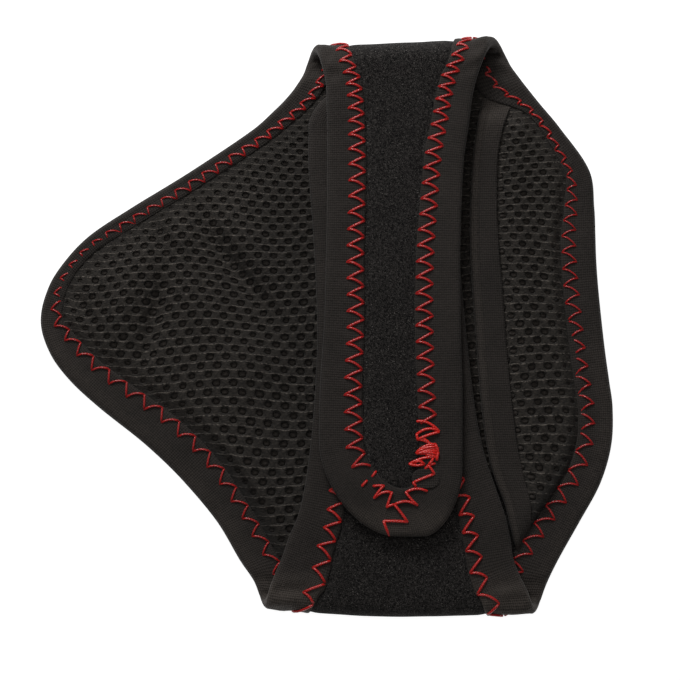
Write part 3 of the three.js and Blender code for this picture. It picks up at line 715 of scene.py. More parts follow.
# a plain mesh from points in millimetres and index faces, with a cloth map in millimetres
def meshOf(name, points, faces, uv=None, edges=(), caps=()):
    data = bpy.data.meshes.new(name)
    faces = np.asarray(faces, int).tolist() + list(caps)
    data.from_pydata((np.asarray(points) * mm).tolist(), list(edges), faces)
    if uv is not None:
        layer = data.uv_layers.new(name="clothMap")
        loops = np.empty(len(data.loops), int)
        data.loops.foreach_get("vertex_index", loops)
        layer.data.foreach_set("uv", np.asarray(uv, np.float32)[loops].ravel())
    data.shade_smooth()
    data.update()
    return data


# a value for every point, for the material to read
def storeValue(data, name, values):
    attribute = data.attributes.new(name, "FLOAT", "POINT")
    attribute.data.foreach_set("value", np.ascontiguousarray(values, np.float32))


def addObject(name, data):
    piece = bpy.data.objects.new(name, data)
    bpy.context.scene.collection.objects.link(piece)
    return piece


# closed quads with their faces outwards, told by the sign of six times the volume inside
def turnedOut(points, quads):
    a, b, c, d = (points[quads[:, k]] for k in range(4))
    six = np.einsum("ij,ij->i", a, np.cross(b, c)).sum() + np.einsum("ij,ij->i", a, np.cross(c, d)).sum()
    return quads if six > 0 else quads[:, ::-1]


def gridQuads(rows, columns, closedRows=False, closedColumns=False, start=0):
    i = np.arange(rows if closedRows else rows - 1)
    j = np.arange(columns if closedColumns else columns - 1)
    i, j = (part.ravel() for part in np.meshgrid(i, j, indexing="ij"))
    nextI, nextJ = (i + 1) % rows, (j + 1) % columns
    corners = [i * columns + j, i * columns + nextJ, nextI * columns + nextJ, nextI * columns + j]
    return np.stack(corners, axis=1) + start


# the first and the last ring of a tube, each closed with one face
def endFaces(rings, columns):
    ring = np.arange(columns)
    return [ring[::-1].tolist(), (ring + (rings - 1) * columns).tolist()]


# rows of points from one edge to the other
def gridBetween(along, left, right, columns):
    across = left[:, None] + (right - left)[:, None] * np.linspace(0, 1, columns)
    return np.broadcast_to(along[:, None], across.shape), across


def atLevel(flat, level):
    return np.column_stack([flat, np.full(len(flat), level)])


# points of a rounded outline at these angles, rounder or squarer by the power
def roundedOutline(angle, half, power):
    way = np.stack([np.cos(angle), np.sin(angle)], axis=1)
    return way * half / np.linalg.norm(way, ord=power, axis=1)[:, None]


# a closed sheet from two grids of points, the lower and the upper face
def slabFaces(rows, columns):
    lower = gridQuads(rows, columns)
    upper = gridQuads(rows, columns, start=rows * columns)[:, ::-1]
    index = np.arange(rows * columns).reshape(rows, columns)
    border = np.concatenate([index[0, :-1], index[:-1, -1], index[-1, :0:-1], index[:0:-1, 0]])
    after = np.roll(border, -1)
    wall = np.stack([after, border, border + rows * columns, after + rows * columns], axis=1)
    return np.concatenate([lower, upper, wall])


# a tree's result as a plain mesh, with the modifier gone
def realised(piece, tree, values):
    modifier = piece.modifiers.new(tree.name, "NODES")
    modifier.node_group = tree
    named = {item.name: item.identifier for item in tree.interface.items_tree if item.in_out == "INPUT"}
    for name, value in values.items():
        modifier[named[name]] = value
    evaluated = piece.evaluated_get(bpy.context.evaluated_depsgraph_get())
    data = bpy.data.meshes.new_from_object(evaluated)
    piece.modifiers.remove(modifier)
    old = piece.data
    data.name = old.name + "Made"
    piece.data = data
    bpy.data.meshes.remove(old)


def newTree(name, inputs):
    tree = bpy.data.node_groups.new(name, "GeometryNodeTree")
    tree.interface.new_socket("Geometry", in_out="INPUT", socket_type="NodeSocketGeometry")
    for title, kind in inputs.items():
        tree.interface.new_socket(title, in_out="INPUT", socket_type=kind)
    tree.interface.new_socket("Geometry", in_out="OUTPUT", socket_type="NodeSocketGeometry")
    return tree, addNode(tree, "NodeGroupInput").outputs


def endTree(tree, geometry, finish):
    whole = addNode(tree, "GeometryNodeRealizeInstances", None, {"Geometry": geometry})
    finished = addNode(tree, "GeometryNodeSetMaterial", None, {
        "Geometry": whole.outputs[0], "Material": finish})
    addNode(tree, "NodeGroupOutput", None, {0: finished.outputs[0]})
    return tree


def finishPiece(piece, slot, *nodes):
    if not piece.data.materials:
        piece.data.materials.append(finishes[slot])
    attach(piece, "root")
    if nodes:
        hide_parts(*nodes)
    return piece


# Red zigzag stitching: one run from the top strap's left edge, round the bottom tip, to the right edge
stitch = {
    "radius": 0.42,
    "sides": 8,
    "backSides": 6,
    # along; from the inner needle holes to the binding's edge, at the left and right
    "edgeRoom": (
        (-60, 0.3, 0.3),
        (60, 0.3, 0.3),
        (83, 0.3, 0.4),
        (88, 0.3, 2),
        (92, 0.3, 4.5),
        (98, 0.3, 5),
        (topStrapAlong(98), 0.15, 0.2),
    ),
    "bow": 0.145,              # of a leg towards the top fold, as a share of its length
    "straighter": 0.2,         # share of that on the straps, for a leg on the way in
    "legPoints": 10,
    "liftShare": 0.85,         # of the radius, from the face to the middle of the thread
    "sunk": 0.2,
    "dipShare": 0.16,          # of a leg, over which it goes down into a needle hole
    # depth and reach of the dint at a needle hole, and of the hollow round it
    "dents": ((0.34, 1.1), (0.1, 3.0)),
    # along; share of a leg that the puffed mesh hides at its inner end, at the left and right
    "tucked": (
        (-48, 0, 0),
        (-40, 0, 0.25),
        (-25, 0, 0.36),
        (-8, 0, 0.36),
        (2, 0, 0.15),
        (12, 0.45, 0.05),
        (32, 0.42, 0),
        (45, 0.15, 0.08),
        (60, 0, 0.25),
        (82, 0, 0.25),
        (86, 0, 0.4),
        (92, 0, 0.7),
    ),
    "tuckFade": (0.8, 1.3),    # of the hidden share, where the leg comes out
    "leastTuck": 0.01,
    "backRoom": 0.46,          # from the pad's underside to the middle of the thread there
    "backPress": 0.7,
    # along; share of the radius, and how much brighter the thread is painted: thin on the pad, plump on the
    # straps
    "plump": (
        (bottomStrapAlong(60), 1.2, 0.2),
        (bottomStrapAlong(-98), 1.2, 0.2),
        (-96, 0.96, 0.0),
        (-10, 0.94, 0.0),
        (20, 0.78, 0.0),
        (50, 0.74, 0.0),
        (75, 0.92, 0.05),
        (94, 0.92, 0.05),
        (topStrapAlong(98), 1.1, 0.1),
        (topStrapAlong(50), 1.17, 0.12),
        (topStrapAlong(-50), 1.17, 0.12),
    ),
    "middleX": 25.0,
    "startY": -62.1,
    "endY": -38.5,
    # along; pitch at the left and right; half width at both; share of the pitch on the way in, at both
    "rows": (
        (bottomStrapAlong(60), 9.5, 9.5, 2.6, 2.6, 0.5, 0.6),
        (bottomStrapAlong(-70), 7.3, 7.1, 3.0, 2.8, 0.58, 0.72),
        (bottomStrapAlong(-97), 9.8, 9.6, 3.1, 2.95, 0.58, 0.5),
        (-97, 9, 8.2, 2.4, 3.1, 0.55, 0.4),
        (-60, 8, 7.85, 2.4, 3.1, 0.58, 0.45),
        (-25, 8, 7, 2.3, 2.9, 0.58, 0.54),
        (-5, 6.5, 6.8, 2.1, 2.9, 0.5, 0.55),
        (15, 5.8, 6.3, 1.9, 2.9, 0.2, 0.6),
        (45, 6, 5.6, 1.6, 2.4, 0.17, 0.7),
        (62, 6, 5.4, 1.85, 1.4, 0.17, 0.86),
        (92, 5.5, 5.5, 1.75, 1.3, 0.17, 0.9),
        (topStrapAlong(98), 4.4, 4.2, 2.8, 2.8, 0.5, 0.55),
        (topStrapAlong(80), 5.1, 4.9, 3.0, 3.0, 0.52, 0.57),
        (topStrapAlong(62), 5.9, 5.6, 3.15, 3.15, 0.55, 0.6),
        (topStrapAlong(0), 6.1, 5.95, 3.25, 3.3, 0.55, 0.6),
        (topStrapAlong(-50), 6.5, 6.3, 3.4, 3.25, 0.55, 0.6),
    ),
}
stitchCurves = [curveThrough(stitch["rows"], column) for column in range(1, 7)]
roomCurves = [curveThrough(stitch["edgeRoom"], column) for column in (1, 2)]
tapeLoop = outlineLoop(*cloth["outline"])


# pitch, half width, inward share and room to the edge of the zigzag, beside points of the outline
def stitchSizes(at):
    onLeft = at[:, 1] < stitch["middleX"]
    values = [curve(at[:, 0]) for curve in stitchCurves + roomCurves]
    return [np.where(onLeft, left, right) for left, right in zip(values[::2], values[1::2])]


# needle holes of the run, in cloth coordinates
def needleHoles():
    at, outer, inner = tapeLoop
    along = at[:, 0]
    startLeft = np.flatnonzero(along >= topStrapAlong(stitch["startY"]))[0]
    loop = np.roll(np.arange(len(at)), -startLeft)[::-1]
    pastHalf = np.arange(len(loop)) > len(loop) // 2
    endRight = np.flatnonzero(pastHalf & (along[loop] > topStrapAlong(stitch["endY"])))
    run = loop[:endRight[0]]
    pitch, half, inwardShare, room = stitchSizes(at[run])
    onOuter = onStrap(along[run]) > 0.5
    shown = np.where(onOuter[:, None], outer[run], inner[run])
    width = np.linalg.norm(shown, axis=1)
    unit = shown / width[:, None]
    line = at[run] + unit * (width - room - half)[:, None]
    travelled = distanceAlong(line)
    spots, distance = [], 0.0
    while distance < travelled[-1]:
        goingOut = len(spots) % 2 == 0
        spots.append(distance)
        share = np.interp(distance, travelled, inwardShare)
        distance += (1 - share if goingOut else share) * np.interp(distance, travelled, pitch)
    spots = np.array(spots)
    swing = np.where(np.arange(len(spots)) % 2 == 0, 1, -1)
    mid = np.stack([np.interp(spots, travelled, line[:, k]) for k in range(2)], axis=1)
    out = np.stack([np.interp(spots, travelled, unit[:, k]) for k in range(2)], axis=1)
    reach = np.interp(spots, travelled, half)
    return mid + out * (swing * reach)[:, None]


needles = needleHoles()
needleTree = kdtree.KDTree(len(needles))
for i, (a, c) in enumerate(needles):
    needleTree.insert((a, c, 0), i)
needleTree.balance()
print("needle holes:", len(needles))


# how far the thread pulls the cloth in at a point
def pulledIn(along, across):
    flat = np.stack([np.ravel(along), np.ravel(across)], axis=1)
    far = np.array([needleTree.find((a, c, 0))[2] for a, c in flat])
    pulled = sum(depth * np.exp(-(far / reach) ** 2) for depth, reach in stitch["dents"])
    return pulled.reshape(np.shape(along))


# Edge binding: a tape folded over the whole outline
tape = {
    "roll": 2.3,           # how far in the rounded edge reaches
    "rollPower": 2.4,
    "wingPoints": 10,
    "wingPower": 0.85,
    "rollPoints": 9,
    "hiddenShares": (1, 0.5),
    "hiddenTurn": 1.0,     # how far in the hidden face turns round the cloth's edge
    "hiddenRoom": gap / 2,
    "pressed": 0.22,
    # out from the inner edge, where the seam starts to press the tape and where it has
    "pressBand": (8.5, 5.5),
    "softness": 0.14,
    "softSize": 7.0,
    "edgeDrop": 0.25,
    "edgeBand": 1.2,
    "channelSides": (0.5, 2.0),
    # height, length and slant of the small pleats where the tape turns a fold
    "pleat": (0.5, 7.5, 0.12),
    # the top fold's right corner, from X to X, and how much higher the pleats are there
    "crumple": (52.0, 64.0, 1.6),
    # how pale the tape is painted at the top and the bottom fold, a painted sheen where it turns and
    # stretches there
    "paleFolds": (0.15, 0.8),
    # how pale the tape is near the pad's lower outline, from and to how far in, and between which Y that ends
    "paleLowEdge": (0.28, 2.0, 8.0, -12.0, 14.0),
    # how pale the top strap's rounded end is painted, a painted highlight, and between which Y it gets so
    "paleTip": (0.42, -62.0, -72.0),
}


# lift of the tape's face over its flat place, at a distance in from the outline
def tapeLift(along, across, inward, width):
    bandStart, bandEnd = tape["pressBand"]
    band = smooth(inward, width - bandStart, width - bandEnd)
    edge = smooth(inward, width - tape["edgeBand"], width)
    soft = tape["softness"] * swell(along, across, tape["softSize"])
    height, length, slant = tape["pleat"]
    fromX, toX, more = tape["crumple"]
    height = height * (1 + more * smooth(across, fromX, toX) * (along > 0))
    ripple = np.sin(2 * math.pi * along / length + slant * across)
    pleats = height * ripple * nearFold(along) * (1 - band)
    pressed = tape["pressed"] * band + tape["edgeDrop"] * edge + pulledIn(along, across)
    return (soft + pleats) * (1 - edge) - pressed


def edgeTape():
    at, outer, inner = tapeLoop
    count = len(at)
    outerWidth = np.linalg.norm(outer, axis=1)
    innerWidth = np.linalg.norm(inner, axis=1)
    outerUnit = outer / outerWidth[:, None]
    innerUnit = inner / innerWidth[:, None]
    travelled = distanceAlong(at)
    rings, maps, paleAndPaintedLight = [], [], []

    # side is -1 on the outer face and 1 on the inner face
    def ring(unit, inward, deep, side):
        spot = at + unit * np.reshape(inward, (-1, 1))
        # paler near the pad's lower outline
        pale, nearest, farthest, fromY, toY = tape["paleLowEdge"]
        worn = pale * (1 - smooth(inward, nearest, farthest)) * (1 - smooth(spot[:, 0], fromY, toY))
        # painted sheen on the folds, where the tape is also stretched
        foldSheenAndStretch = nearFold(spot[:, 0]) * np.where(spot[:, 0] > 0, *tape["paleFolds"])
        # a painted highlight on the top strap's rounded end
        tipPale, fromY, toY = tape["paleTip"]
        atTip = tipPale * smooth(spot[:, 0], topStrapAlong(fromY), topStrapAlong(toY))
        paleAndPaintedLight.append(np.maximum(foldSheenAndStretch, worn * (spot[:, 0] > bottomFoldY)) + atTip)
        rings.append(place(spot[:, 0], spot[:, 1], deep))
        maps.append(np.stack([travelled, np.broadcast_to(side * np.asarray(inward, float), count)], axis=1))

    roll = tape["roll"]
    stack = stackHeight(at[:, 0])
    strapped = onStrap(at[:, 0])
    # the thread presses a channel into the pad's underside, so that it lies no lower than the tape
    _, half, _, room = stitchSizes(at)
    channel = innerWidth - room - half
    channelIn, channelOut = tape["channelSides"]
    # outer wing, from its inner edge out to the roll
    for share in np.linspace(1, 0, tape["wingPoints"]) ** tape["wingPower"]:
        inward = roll + (outerWidth - roll) * share
        spot = at + outerUnit * inward[:, None]
        underPad = 1 - smooth(np.abs(inward - channel), half + channelIn, half + channelOut)
        lift = tapeLift(spot[:, 0], spot[:, 1], inward, outerWidth)
        ring(outerUnit, inward, -tapeStep + lerp(stitch["backPress"] * underPad, -lift, strapped), -1)
    # the roll round the edge
    low, high = -tapeStep, stack + tapeStep
    for angle in np.linspace(-math.pi / 2, math.pi / 2, tape["rollPoints"] + 2)[1:-1]:
        inward = roll * (1 - math.cos(angle) ** (2 / tape["rollPower"]))
        rise = math.copysign(abs(math.sin(angle)) ** (2 / tape["rollPower"]), angle)
        unit = lerp(outerUnit, innerUnit, (rise + 1) / 2)
        ring(unit, inward, (low + high) / 2 + rise * (high - low) / 2, rise)
    # inner wing, from the roll in to its inner edge
    for share in np.linspace(0, 1, tape["wingPoints"]) ** tape["wingPower"]:
        inward = roll + (innerWidth - roll) * share
        spot = at + innerUnit * inward[:, None]
        lift = tapeLift(spot[:, 0], spot[:, 1], inward, innerWidth)
        ring(innerUnit, inward, stackHeight(spot[:, 0]) + tapeStep + lift, 1)
    # hidden faces against the layers inside
    for share in tape["hiddenShares"]:
        inward = innerWidth * share
        spot = at + innerUnit * inward[:, None]
        ring(innerUnit, inward, stackHeight(spot[:, 0]) + tape["hiddenRoom"], 1)
    ring(innerUnit, tape["hiddenTurn"], stack + tape["hiddenRoom"], 1)
    ring(outerUnit, tape["hiddenTurn"], -tape["hiddenRoom"], -1)
    for share in reversed(tape["hiddenShares"]):
        ring(outerUnit, outerWidth * share, -tape["hiddenRoom"], -1)
    points = np.stack(rings, axis=1).reshape(-1, 3)
    uv = np.stack(maps, axis=1).reshape(-1, 2)
    quads = turnedOut(points, gridQuads(count, len(rings), True, True))
    piece = addObject("edgeTape", meshOf("edgeTape", points, quads, uv))
    # the paleness stored as bent is mostly painted sheen and highlight
    storeValue(piece.data, "bent", np.stack(paleAndPaintedLight, axis=1).ravel())
    return finishPiece(piece, "binding_tape", "edge_binding")


edgeTapePiece = edgeTape()
print("edge tape:", len(edgeTapePiece.data.polygons), "faces")


# Outer panel of loop velvet, one piece for the pad's back and both straps
panel = {
    "step": 1.6,
    "columns": 84,
    "closeRows": (0, 0.15, 0.4, 0.8, 1.4, 2.2, 3.2),  # from a tip's end, where the outline turns fast
    "evenFrom": 4.4,
    "crown": 0.75,
    "crownRise": (0.1, 4.0),  # in from the binding's edge
    "uneven": 0.12,
    "unevenSize": 3.1,
}


def velvetPanel():
    top, bottom = tips
    room = tapeStep + gap
    start, end = bottom["end"] + room, top["end"] - room
    close = np.array(panel["closeRows"])
    evenFrom = panel["evenFrom"]
    middle = np.linspace(start + evenFrom, end - evenFrom, round((end - start) / panel["step"]))
    along = np.concatenate([start + close, middle, (end - close)[::-1]])

    def panelEdge(side):
        share, _, _, _, way, _ = tipTerms(side, along)
        inward = sides[side]["inward"]
        plain = edgeAcross(side, along) + inward * tapeStep * widen(side, along)
        rounded = edgeAcross(side, along + way * room) + inward * room
        return np.where(share > 0, rounded, plain)

    along, across = gridBetween(along, panelEdge("left"), panelEdge("right"), panel["columns"])
    # the pile stands up between the bindings of the straps
    tapeIn = [np.abs(across - edgeAcross(s, along)) - sides[s]["tape"](along) for s in ("left", "right")]
    toTip = np.minimum(top["end"] - top["tape"] - along, along - bottom["end"] - bottom["tape"])
    clear = np.minimum(np.minimum(*tapeIn), toTip)
    uneven = panel["uneven"] * swell(along, across, panel["unevenSize"])
    crown = onStrap(along) * (panel["crown"] + uneven) * smooth(clear, *panel["crownRise"])
    points = np.concatenate([
        place(along, across, -crown).reshape(-1, 3),
        place(along, across, cloth["panelThick"]).reshape(-1, 3),
    ])
    uv = np.tile(np.stack([along.ravel(), across.ravel()], axis=1), (2, 1))
    # quads of the outer face first, then of the inner face
    faces = slabFaces(*across.shape)
    piece = addObject("velvetPanel", meshOf("velvetPanel", points, turnedOut(points, faces), uv))
    return finishPiece(piece, "loop_velvet", "outer_panel")


velvetPiece = velvetPanel()
print("velvet panel:", len(velvetPiece.data.polygons), "faces")


# Spacer mesh of the pad
pad = {
    "end": 91.0,
    "endTapers": (16.0, 8.0),  # at the bottom and the top
    # along; where the mesh starts to rise from the binding's edge and over what reach, at the left and right
    "puff": (
        (-90, 1.0, 5, -1, 2),
        (-60, 1.0, 5, -1, 2.5),
        (-45, 1.0, 5, -1.2, 4.5),
        (-28, 0, 7, -1.8, 6.5),
        (-8, -0.9, 8.5, -1.8, 6.5),
        (5, -1.6, 10, -0.4, 4.5),
        (15, -2.6, 12, 0, 4),
        (38, -5, 22, 0, 4),
        (55, -6, 25, -0.5, 6),
        (85, -6, 26, -1.5, 12),
    ),
    "flapPuff": (0.8, 7.5),
    # along; reach and depth of the painted shade in the crease beside the seam
    "crease": (
        (-90, 8, 0.65),
        (-55, 8, 0.65),
        (-40, 6, 0.5),
        (-15, 4, 0.35),
        (40, 2.5, 0.3),
        (90, 2.5, 0.3),
    ),
    "strapShade": (-42.0, -12.0, 0.2),  # from X to X, and the depth of this painted shade
    # left of the strip, where it starts to press the main mesh and has pressed it
    "press": (9.5, 2.0),
    "flapLift": meshFloor + cloth["meshPressed"] + gap + cloth["tapeThick"] + gap,
    "flapRamp": (0.5, 14.0),
    "flapRange": (-83.0, 85.5),
    # how far the middles of the holes stay from the edges of the meshes
    "cellInsets": {"outline": 3.2, "end": 2, "right": 2.5, "strip": 5},
    "mainGrid": (92, 60),
    "flapGrid": (80, 24),
    # x, y, turn in degrees, half length, half width, height
    "waves": (
        (-34, 22, -55, 20, 3.2, -3.4),
        (-26.5, 27.5, -55, 20, 6, 2.2),
        (-64, 4, 76, 16, 3.2, -3.3),
        (-75, 10, 74, 15, 6, 2.6),
        (-62, 34, -63, 8, 3.2, -2.2),
        (-55, 38, -63, 9, 5, 1.4),
        (-91, 8, -67, 10, 3.0, -2.0),
        (-47, 9, -60, 14, 6, 1.3),
        (-28, -14, 20, 14, 10, 1.3),
        (-22, -74, -55, 16, 4, -1.6),
    ),
    # y, left edge and right edge of the flap's strip
    "strip": (
        (-86, 71.0, 77.0),
        (-76, 68.4, 75.8),
        (-66, 66.0, 75.6),
        (-56, 62.2, 73.2),
        (-46, 59.6, 71.0),
        (-31, 57.5, 69.0),
        (-15, 56.1, 67.3),
        (0, 55.0, 66.1),
        (17, 53.8, 64.9),
        (33, 53.1, 63.6),
        (50, 53.4, 63.1),
        (65, 54.4, 63.7),
        (77, 56.1, 66.4),
        (84, 58.1, 69.8),
    ),
    # y, where the main mesh ends under the strip
    "mainRight": (
        (-91.5, 50),
        (-72, 58),
        (-50, 62.3),
        (-31, 62),
        (0, 60),
        (33, 58),
        (65, 58),
        (79, 60),
        (91.5, 57),
    ),
}
stripLeft = curveThrough(pad["strip"], 1)
stripRight = curveThrough(pad["strip"], 2)
mainRight = curveThrough(pad["mainRight"], 1)


def waves(along, across):
    total = 0.0
    for x, y, turn, halfLength, halfWidth, height in pad["waves"]:
        c, s = math.cos(math.radians(turn)), math.sin(math.radians(turn))
        dx, dy = across - x, along - y
        lengthwise = (dx * c + dy * s) / halfLength
        sideways = (dy * c - dx * s) / halfWidth
        total = total + height * np.exp(-lengthwise ** 2 - sideways ** 2)
    return total


puffCurves = [curveThrough(pad["puff"], column) for column in range(1, 5)]
creaseShadeCurves = [curveThrough(pad["crease"], column) for column in (1, 2)]


# rise of the mesh from the binding, 0 to 1
def padPuff(along, across):
    onLeft = across < stitch["middleX"]
    leftStart, leftReach, rightStart, rightReach = (curve(along) for curve in puffCurves)
    start = np.where(onLeft, leftStart, rightStart)
    reach = np.where(onLeft, leftReach, rightReach)
    return smooth((clearOfTape(along, across) - start) / reach, 0, 1)


def mainTop(along, across):
    puff = padPuff(along, across)
    end, (atBottom, atTop) = pad["end"], pad["endTapers"]
    ends = smooth(along, -end, atBottom - end) * (1 - smooth(along, end - atTop, end))
    free = cloth["meshThick"] + sink(along, across) + waves(along, across)
    edge = stripLeft(along)
    pressStart, pressEnd = pad["press"]
    underStrip = smooth(across, edge - pressStart, edge - pressEnd)
    thick = lerp(free, cloth["meshPressed"], underStrip)
    return meshFloor + lerp(cloth["meshPinched"], thick, puff * ends)


def flapBottom(along, across):
    clear = padPuff(along, across)
    edge = stripRight(along)
    rampStart, rampEnd = pad["flapRamp"]
    beside = 1 - smooth(across, edge + rampStart, edge + rampEnd)
    return lerp(meshLower, pad["flapLift"], np.minimum(clear, beside))


def flapTop(along, across):
    clear = padPuff(along, across)
    edge = stripRight(along)
    past = smooth(across - edge, *pad["flapPuff"])
    free = cloth["meshThick"] + sink(along, across)
    return flapBottom(along, across) + lerp(cloth["meshPinched"] - gap, free, clear * past)


# how dark the knit is painted: painted shade in the crease beside the seam, where it is also squeezed, and in
# the shade of the straps
def paintedKnitShade(along, across):
    reach, depth = (curve(along) for curve in creaseShadeCurves)
    seam = depth * (1 - smooth(clearOfTape(along, across) / reach, 0, 1))
    fromX, toX, besideStrap = pad["strapShade"]
    shade = besideStrap * smooth(across, fromX, toX) * (across < stitch["middleX"])
    return np.maximum(seam, shade)


# one knitted cell: a diamond with a rimmed hole that goes down to the backing
def meshCell():
    halfX, halfY = lattice["pitch"] / 2, lattice["row"]
    corners = np.array([(halfX, 0), (0, halfY), (-halfX, 0), (0, -halfY)], float)
    shares = np.arange(lattice["sidesPerEdge"])[:, None] / lattice["sidesPerEdge"]
    outer = np.concatenate([lerp(corners[k], corners[(k + 1) % 4], shares) for k in range(4)])
    angle = np.arctan2(outer[:, 1] / halfY, outer[:, 0] / halfX)
    hole = roundedOutline(angle, lattice["hole"], lattice["squareness"])
    levels = [
        (outer, 0.0),
        (lerp(hole, outer, lattice["rimShare"]), -lattice["rimDrop"]),
        (hole, -lattice["lipDrop"]),
        (hole * lattice["baseShare"], -lattice["baseDrop"]),
    ]
    points = np.concatenate([atLevel(ring, z) for ring, z in levels])
    count = len(outer)
    walls = gridQuads(len(levels), count, closedColumns=True)[:, ::-1]
    # the floor of the hole, in strips from side to side; it faces down, which shades the hole dark
    k = np.arange(count // 2 - 1)
    base = np.stack([k, k + 1, count - 2 - k, count - 1 - k], axis=1) + (len(levels) - 1) * count
    return addObject("meshCell", meshOf("meshCell", points, np.concatenate([walls, base])))


def perforationTree():
    tree, given = newTree("perforations", {
        "Cell": "NodeSocketObject",
        "Weld distance": "NodeSocketFloat",
        "Finish": "NodeSocketMaterial",
    })
    cell = addNode(tree, "GeometryNodeObjectInfo", None, {"Object": given["Cell"]})
    cells = addNode(tree, "GeometryNodeInstanceOnPoints", None, {
        "Points": given["Geometry"], "Instance": cell.outputs["Geometry"]})
    whole = addNode(tree, "GeometryNodeRealizeInstances", None, {"Geometry": cells.outputs[0]})
    welded = addNode(tree, "GeometryNodeMergeByDistance", None, {
        "Geometry": whole.outputs[0], "Distance": given["Weld distance"]})
    return endTree(tree, welded.outputs[0], given["Finish"])


perforations = perforationTree()
cellPiece = meshCell()


# middles of the holes, numbered along the two slanting directions of the staggered rows
def holeMiddles(i, j):
    return np.stack([(i + j) / 2 * lattice["pitch"], (i - j) * lattice["row"]], axis=-1)


# the knit is stretched more and more down the pad, and its rows are pulled out of straight
def knitBend(flat):
    wider, longer = lattice["stretch"]
    y = (1 - np.exp(-longer * flat[..., 1])) / longer
    x = flat[..., 0] * (1 - wider * y)
    reach, length = lattice["bend"]
    a, b = x * 2 * math.pi / length, y * 2 * math.pi / length
    shift = np.stack([0.5 * np.sin(1.2 * b + 0.6 * np.sin(a)), np.sin(a + 0.9 * np.sin(0.7 * b))], axis=-1)
    bent = np.stack([x, y], axis=-1) + reach * shift
    bent[..., 1] += lattice["gather"] * waves(bent[..., 1], bent[..., 0])
    return bent


# perforated face on top of a plain backing, laid over the pad
def spacerPanel(name, inside, top, floor, backingGrid, node):
    cells = lattice["cells"]
    i, j = np.meshgrid(np.arange(-cells, cells), np.arange(-cells, cells), indexing="ij")
    centres = holeMiddles(i, j).reshape(-1, 2)
    bent = knitBend(centres)
    centres = centres[inside(bent[:, 1], bent[:, 0])]
    piece = addObject(name, meshOf(name, atLevel(centres, 0.0), np.empty((0, 4), int)))
    realised(piece, perforations, {
        "Cell": cellPiece, "Weld distance": lattice["weld"] * mm, "Finish": finishes["spacer_mesh"]})
    data = piece.data
    made = np.empty(len(data.vertices) * 3)
    data.vertices.foreach_get("co", made)
    made = made.reshape(-1, 3) / mm
    flat, drop = made[:, :2], made[:, 2]
    # each hole a little different, and closed up towards the seams
    slant = flat[:, 0] / lattice["pitch"], flat[:, 1] / (2 * lattice["row"])
    i, j = (np.round(part).astype(int) for part in (slant[0] + slant[1], slant[0] - slant[1]))
    middle = holeMiddles(i, j)
    draws = np.random.default_rng(lattice["seed"])
    uneven = draws.normal(0, lattice["unevenHoles"], (2 * cells, 2 * cells))
    bent = knitBend(middle)
    nearSeam = smooth(clearOfTape(bent[:, 1], bent[:, 0]), *lattice["closing"])
    opening = (1 + uneven[i, j]) * lerp(lattice["closed"], 1, nearSeam)
    rim = np.clip(-drop / lattice["lipDrop"], 0, 1)
    flat = middle + (flat - middle) * lerp(1, opening, rim)[:, None]
    bent = knitBend(flat)
    face = top(bent[:, 1], bent[:, 0])
    low = floor(bent[:, 1], bent[:, 0]) + lattice["backing"] * lattice["backingRoom"]
    thin = np.clip((face - low) / lattice["baseDrop"], lattice["thinnest"], 1)
    draped = place(bent[:, 1], bent[:, 0], face + drop * thin * lerp(lattice["closed"], 1, nearSeam))
    # backing sheet under the holes
    along, across = backingGrid
    base = floor(along, across)
    sheet = np.concatenate([place(along, across, base).reshape(-1, 3),
                            place(along, across, base + lattice["backing"]).reshape(-1, 3)])
    sheetFaces = turnedOut(sheet, slabFaces(*along.shape))
    faces = np.empty(len(data.loops), int)
    data.loops.foreach_get("vertex_index", faces)
    faces = faces.reshape(-1, 4)
    a, b, c = (draped[faces[:, k]] for k in range(3))
    if np.cross(b - a, c - a)[:, 2].sum() < 0:
        faces = faces[:, ::-1]
    points = np.concatenate([draped, sheet])
    uv = np.concatenate([flat, np.tile(np.stack([across.ravel(), along.ravel()], axis=1), (2, 1))])
    whole = meshOf(name, points, np.concatenate([faces, sheetFaces + len(draped)]), uv)
    storeValue(whole, "drop", np.concatenate([-drop, np.zeros(len(sheet))]))
    storeValue(whole, "crease", np.concatenate([paintedKnitShade(bent[:, 1], bent[:, 0]), np.zeros(len(sheet))]))
    piece.data = whole
    bpy.data.meshes.remove(data)
    return finishPiece(piece, "spacer_mesh", node)


def mainMesh():
    end, insets = pad["end"], pad["cellInsets"]
    rows, columns = pad["mainGrid"]

    def inside(along, across):
        left = edgeAcross("left", along) + insets["outline"] * widen("left", along)
        right = mainRight(along) - insets["right"]
        return (np.abs(along) < end - insets["end"]) & (across > left) & (across < right)

    def mainBottom(along, across):
        return np.full(np.shape(along), meshLower)

    along = np.linspace(-end, end, rows)
    left = edgeAcross("left", along) + tapeStep * widen("left", along)
    grid = gridBetween(along, left, mainRight(along), columns)
    return spacerPanel("spacerMeshMain", inside, mainTop, mainBottom, grid, "mesh_main")


def flapMesh():
    (low, high), insets = pad["flapRange"], pad["cellInsets"]
    rows, columns = pad["flapGrid"]

    def inside(along, across):
        right = edgeAcross("right", along) - insets["outline"] * widen("right", along)
        left = stripLeft(along) + insets["strip"]
        between = (along > low + insets["end"]) & (along < high - insets["end"])
        return between & (across > left) & (across < right)

    along = np.linspace(low, high, rows)
    right = edgeAcross("right", along) - tapeStep * widen("right", along)
    grid = gridBetween(along, stripLeft(along) + tapeStep, right, columns)
    return spacerPanel("spacerMeshFlap", inside, flapTop, flapBottom, grid, "mesh_flap")


mainMeshPiece = mainMesh()
flapMeshPiece = flapMesh()
cellMesh = cellPiece.data
bpy.data.objects.remove(cellPiece)
bpy.data.meshes.remove(cellMesh)
print("spacer mesh:", len(mainMeshPiece.data.polygons), "and", len(flapMeshPiece.data.polygons), "faces")


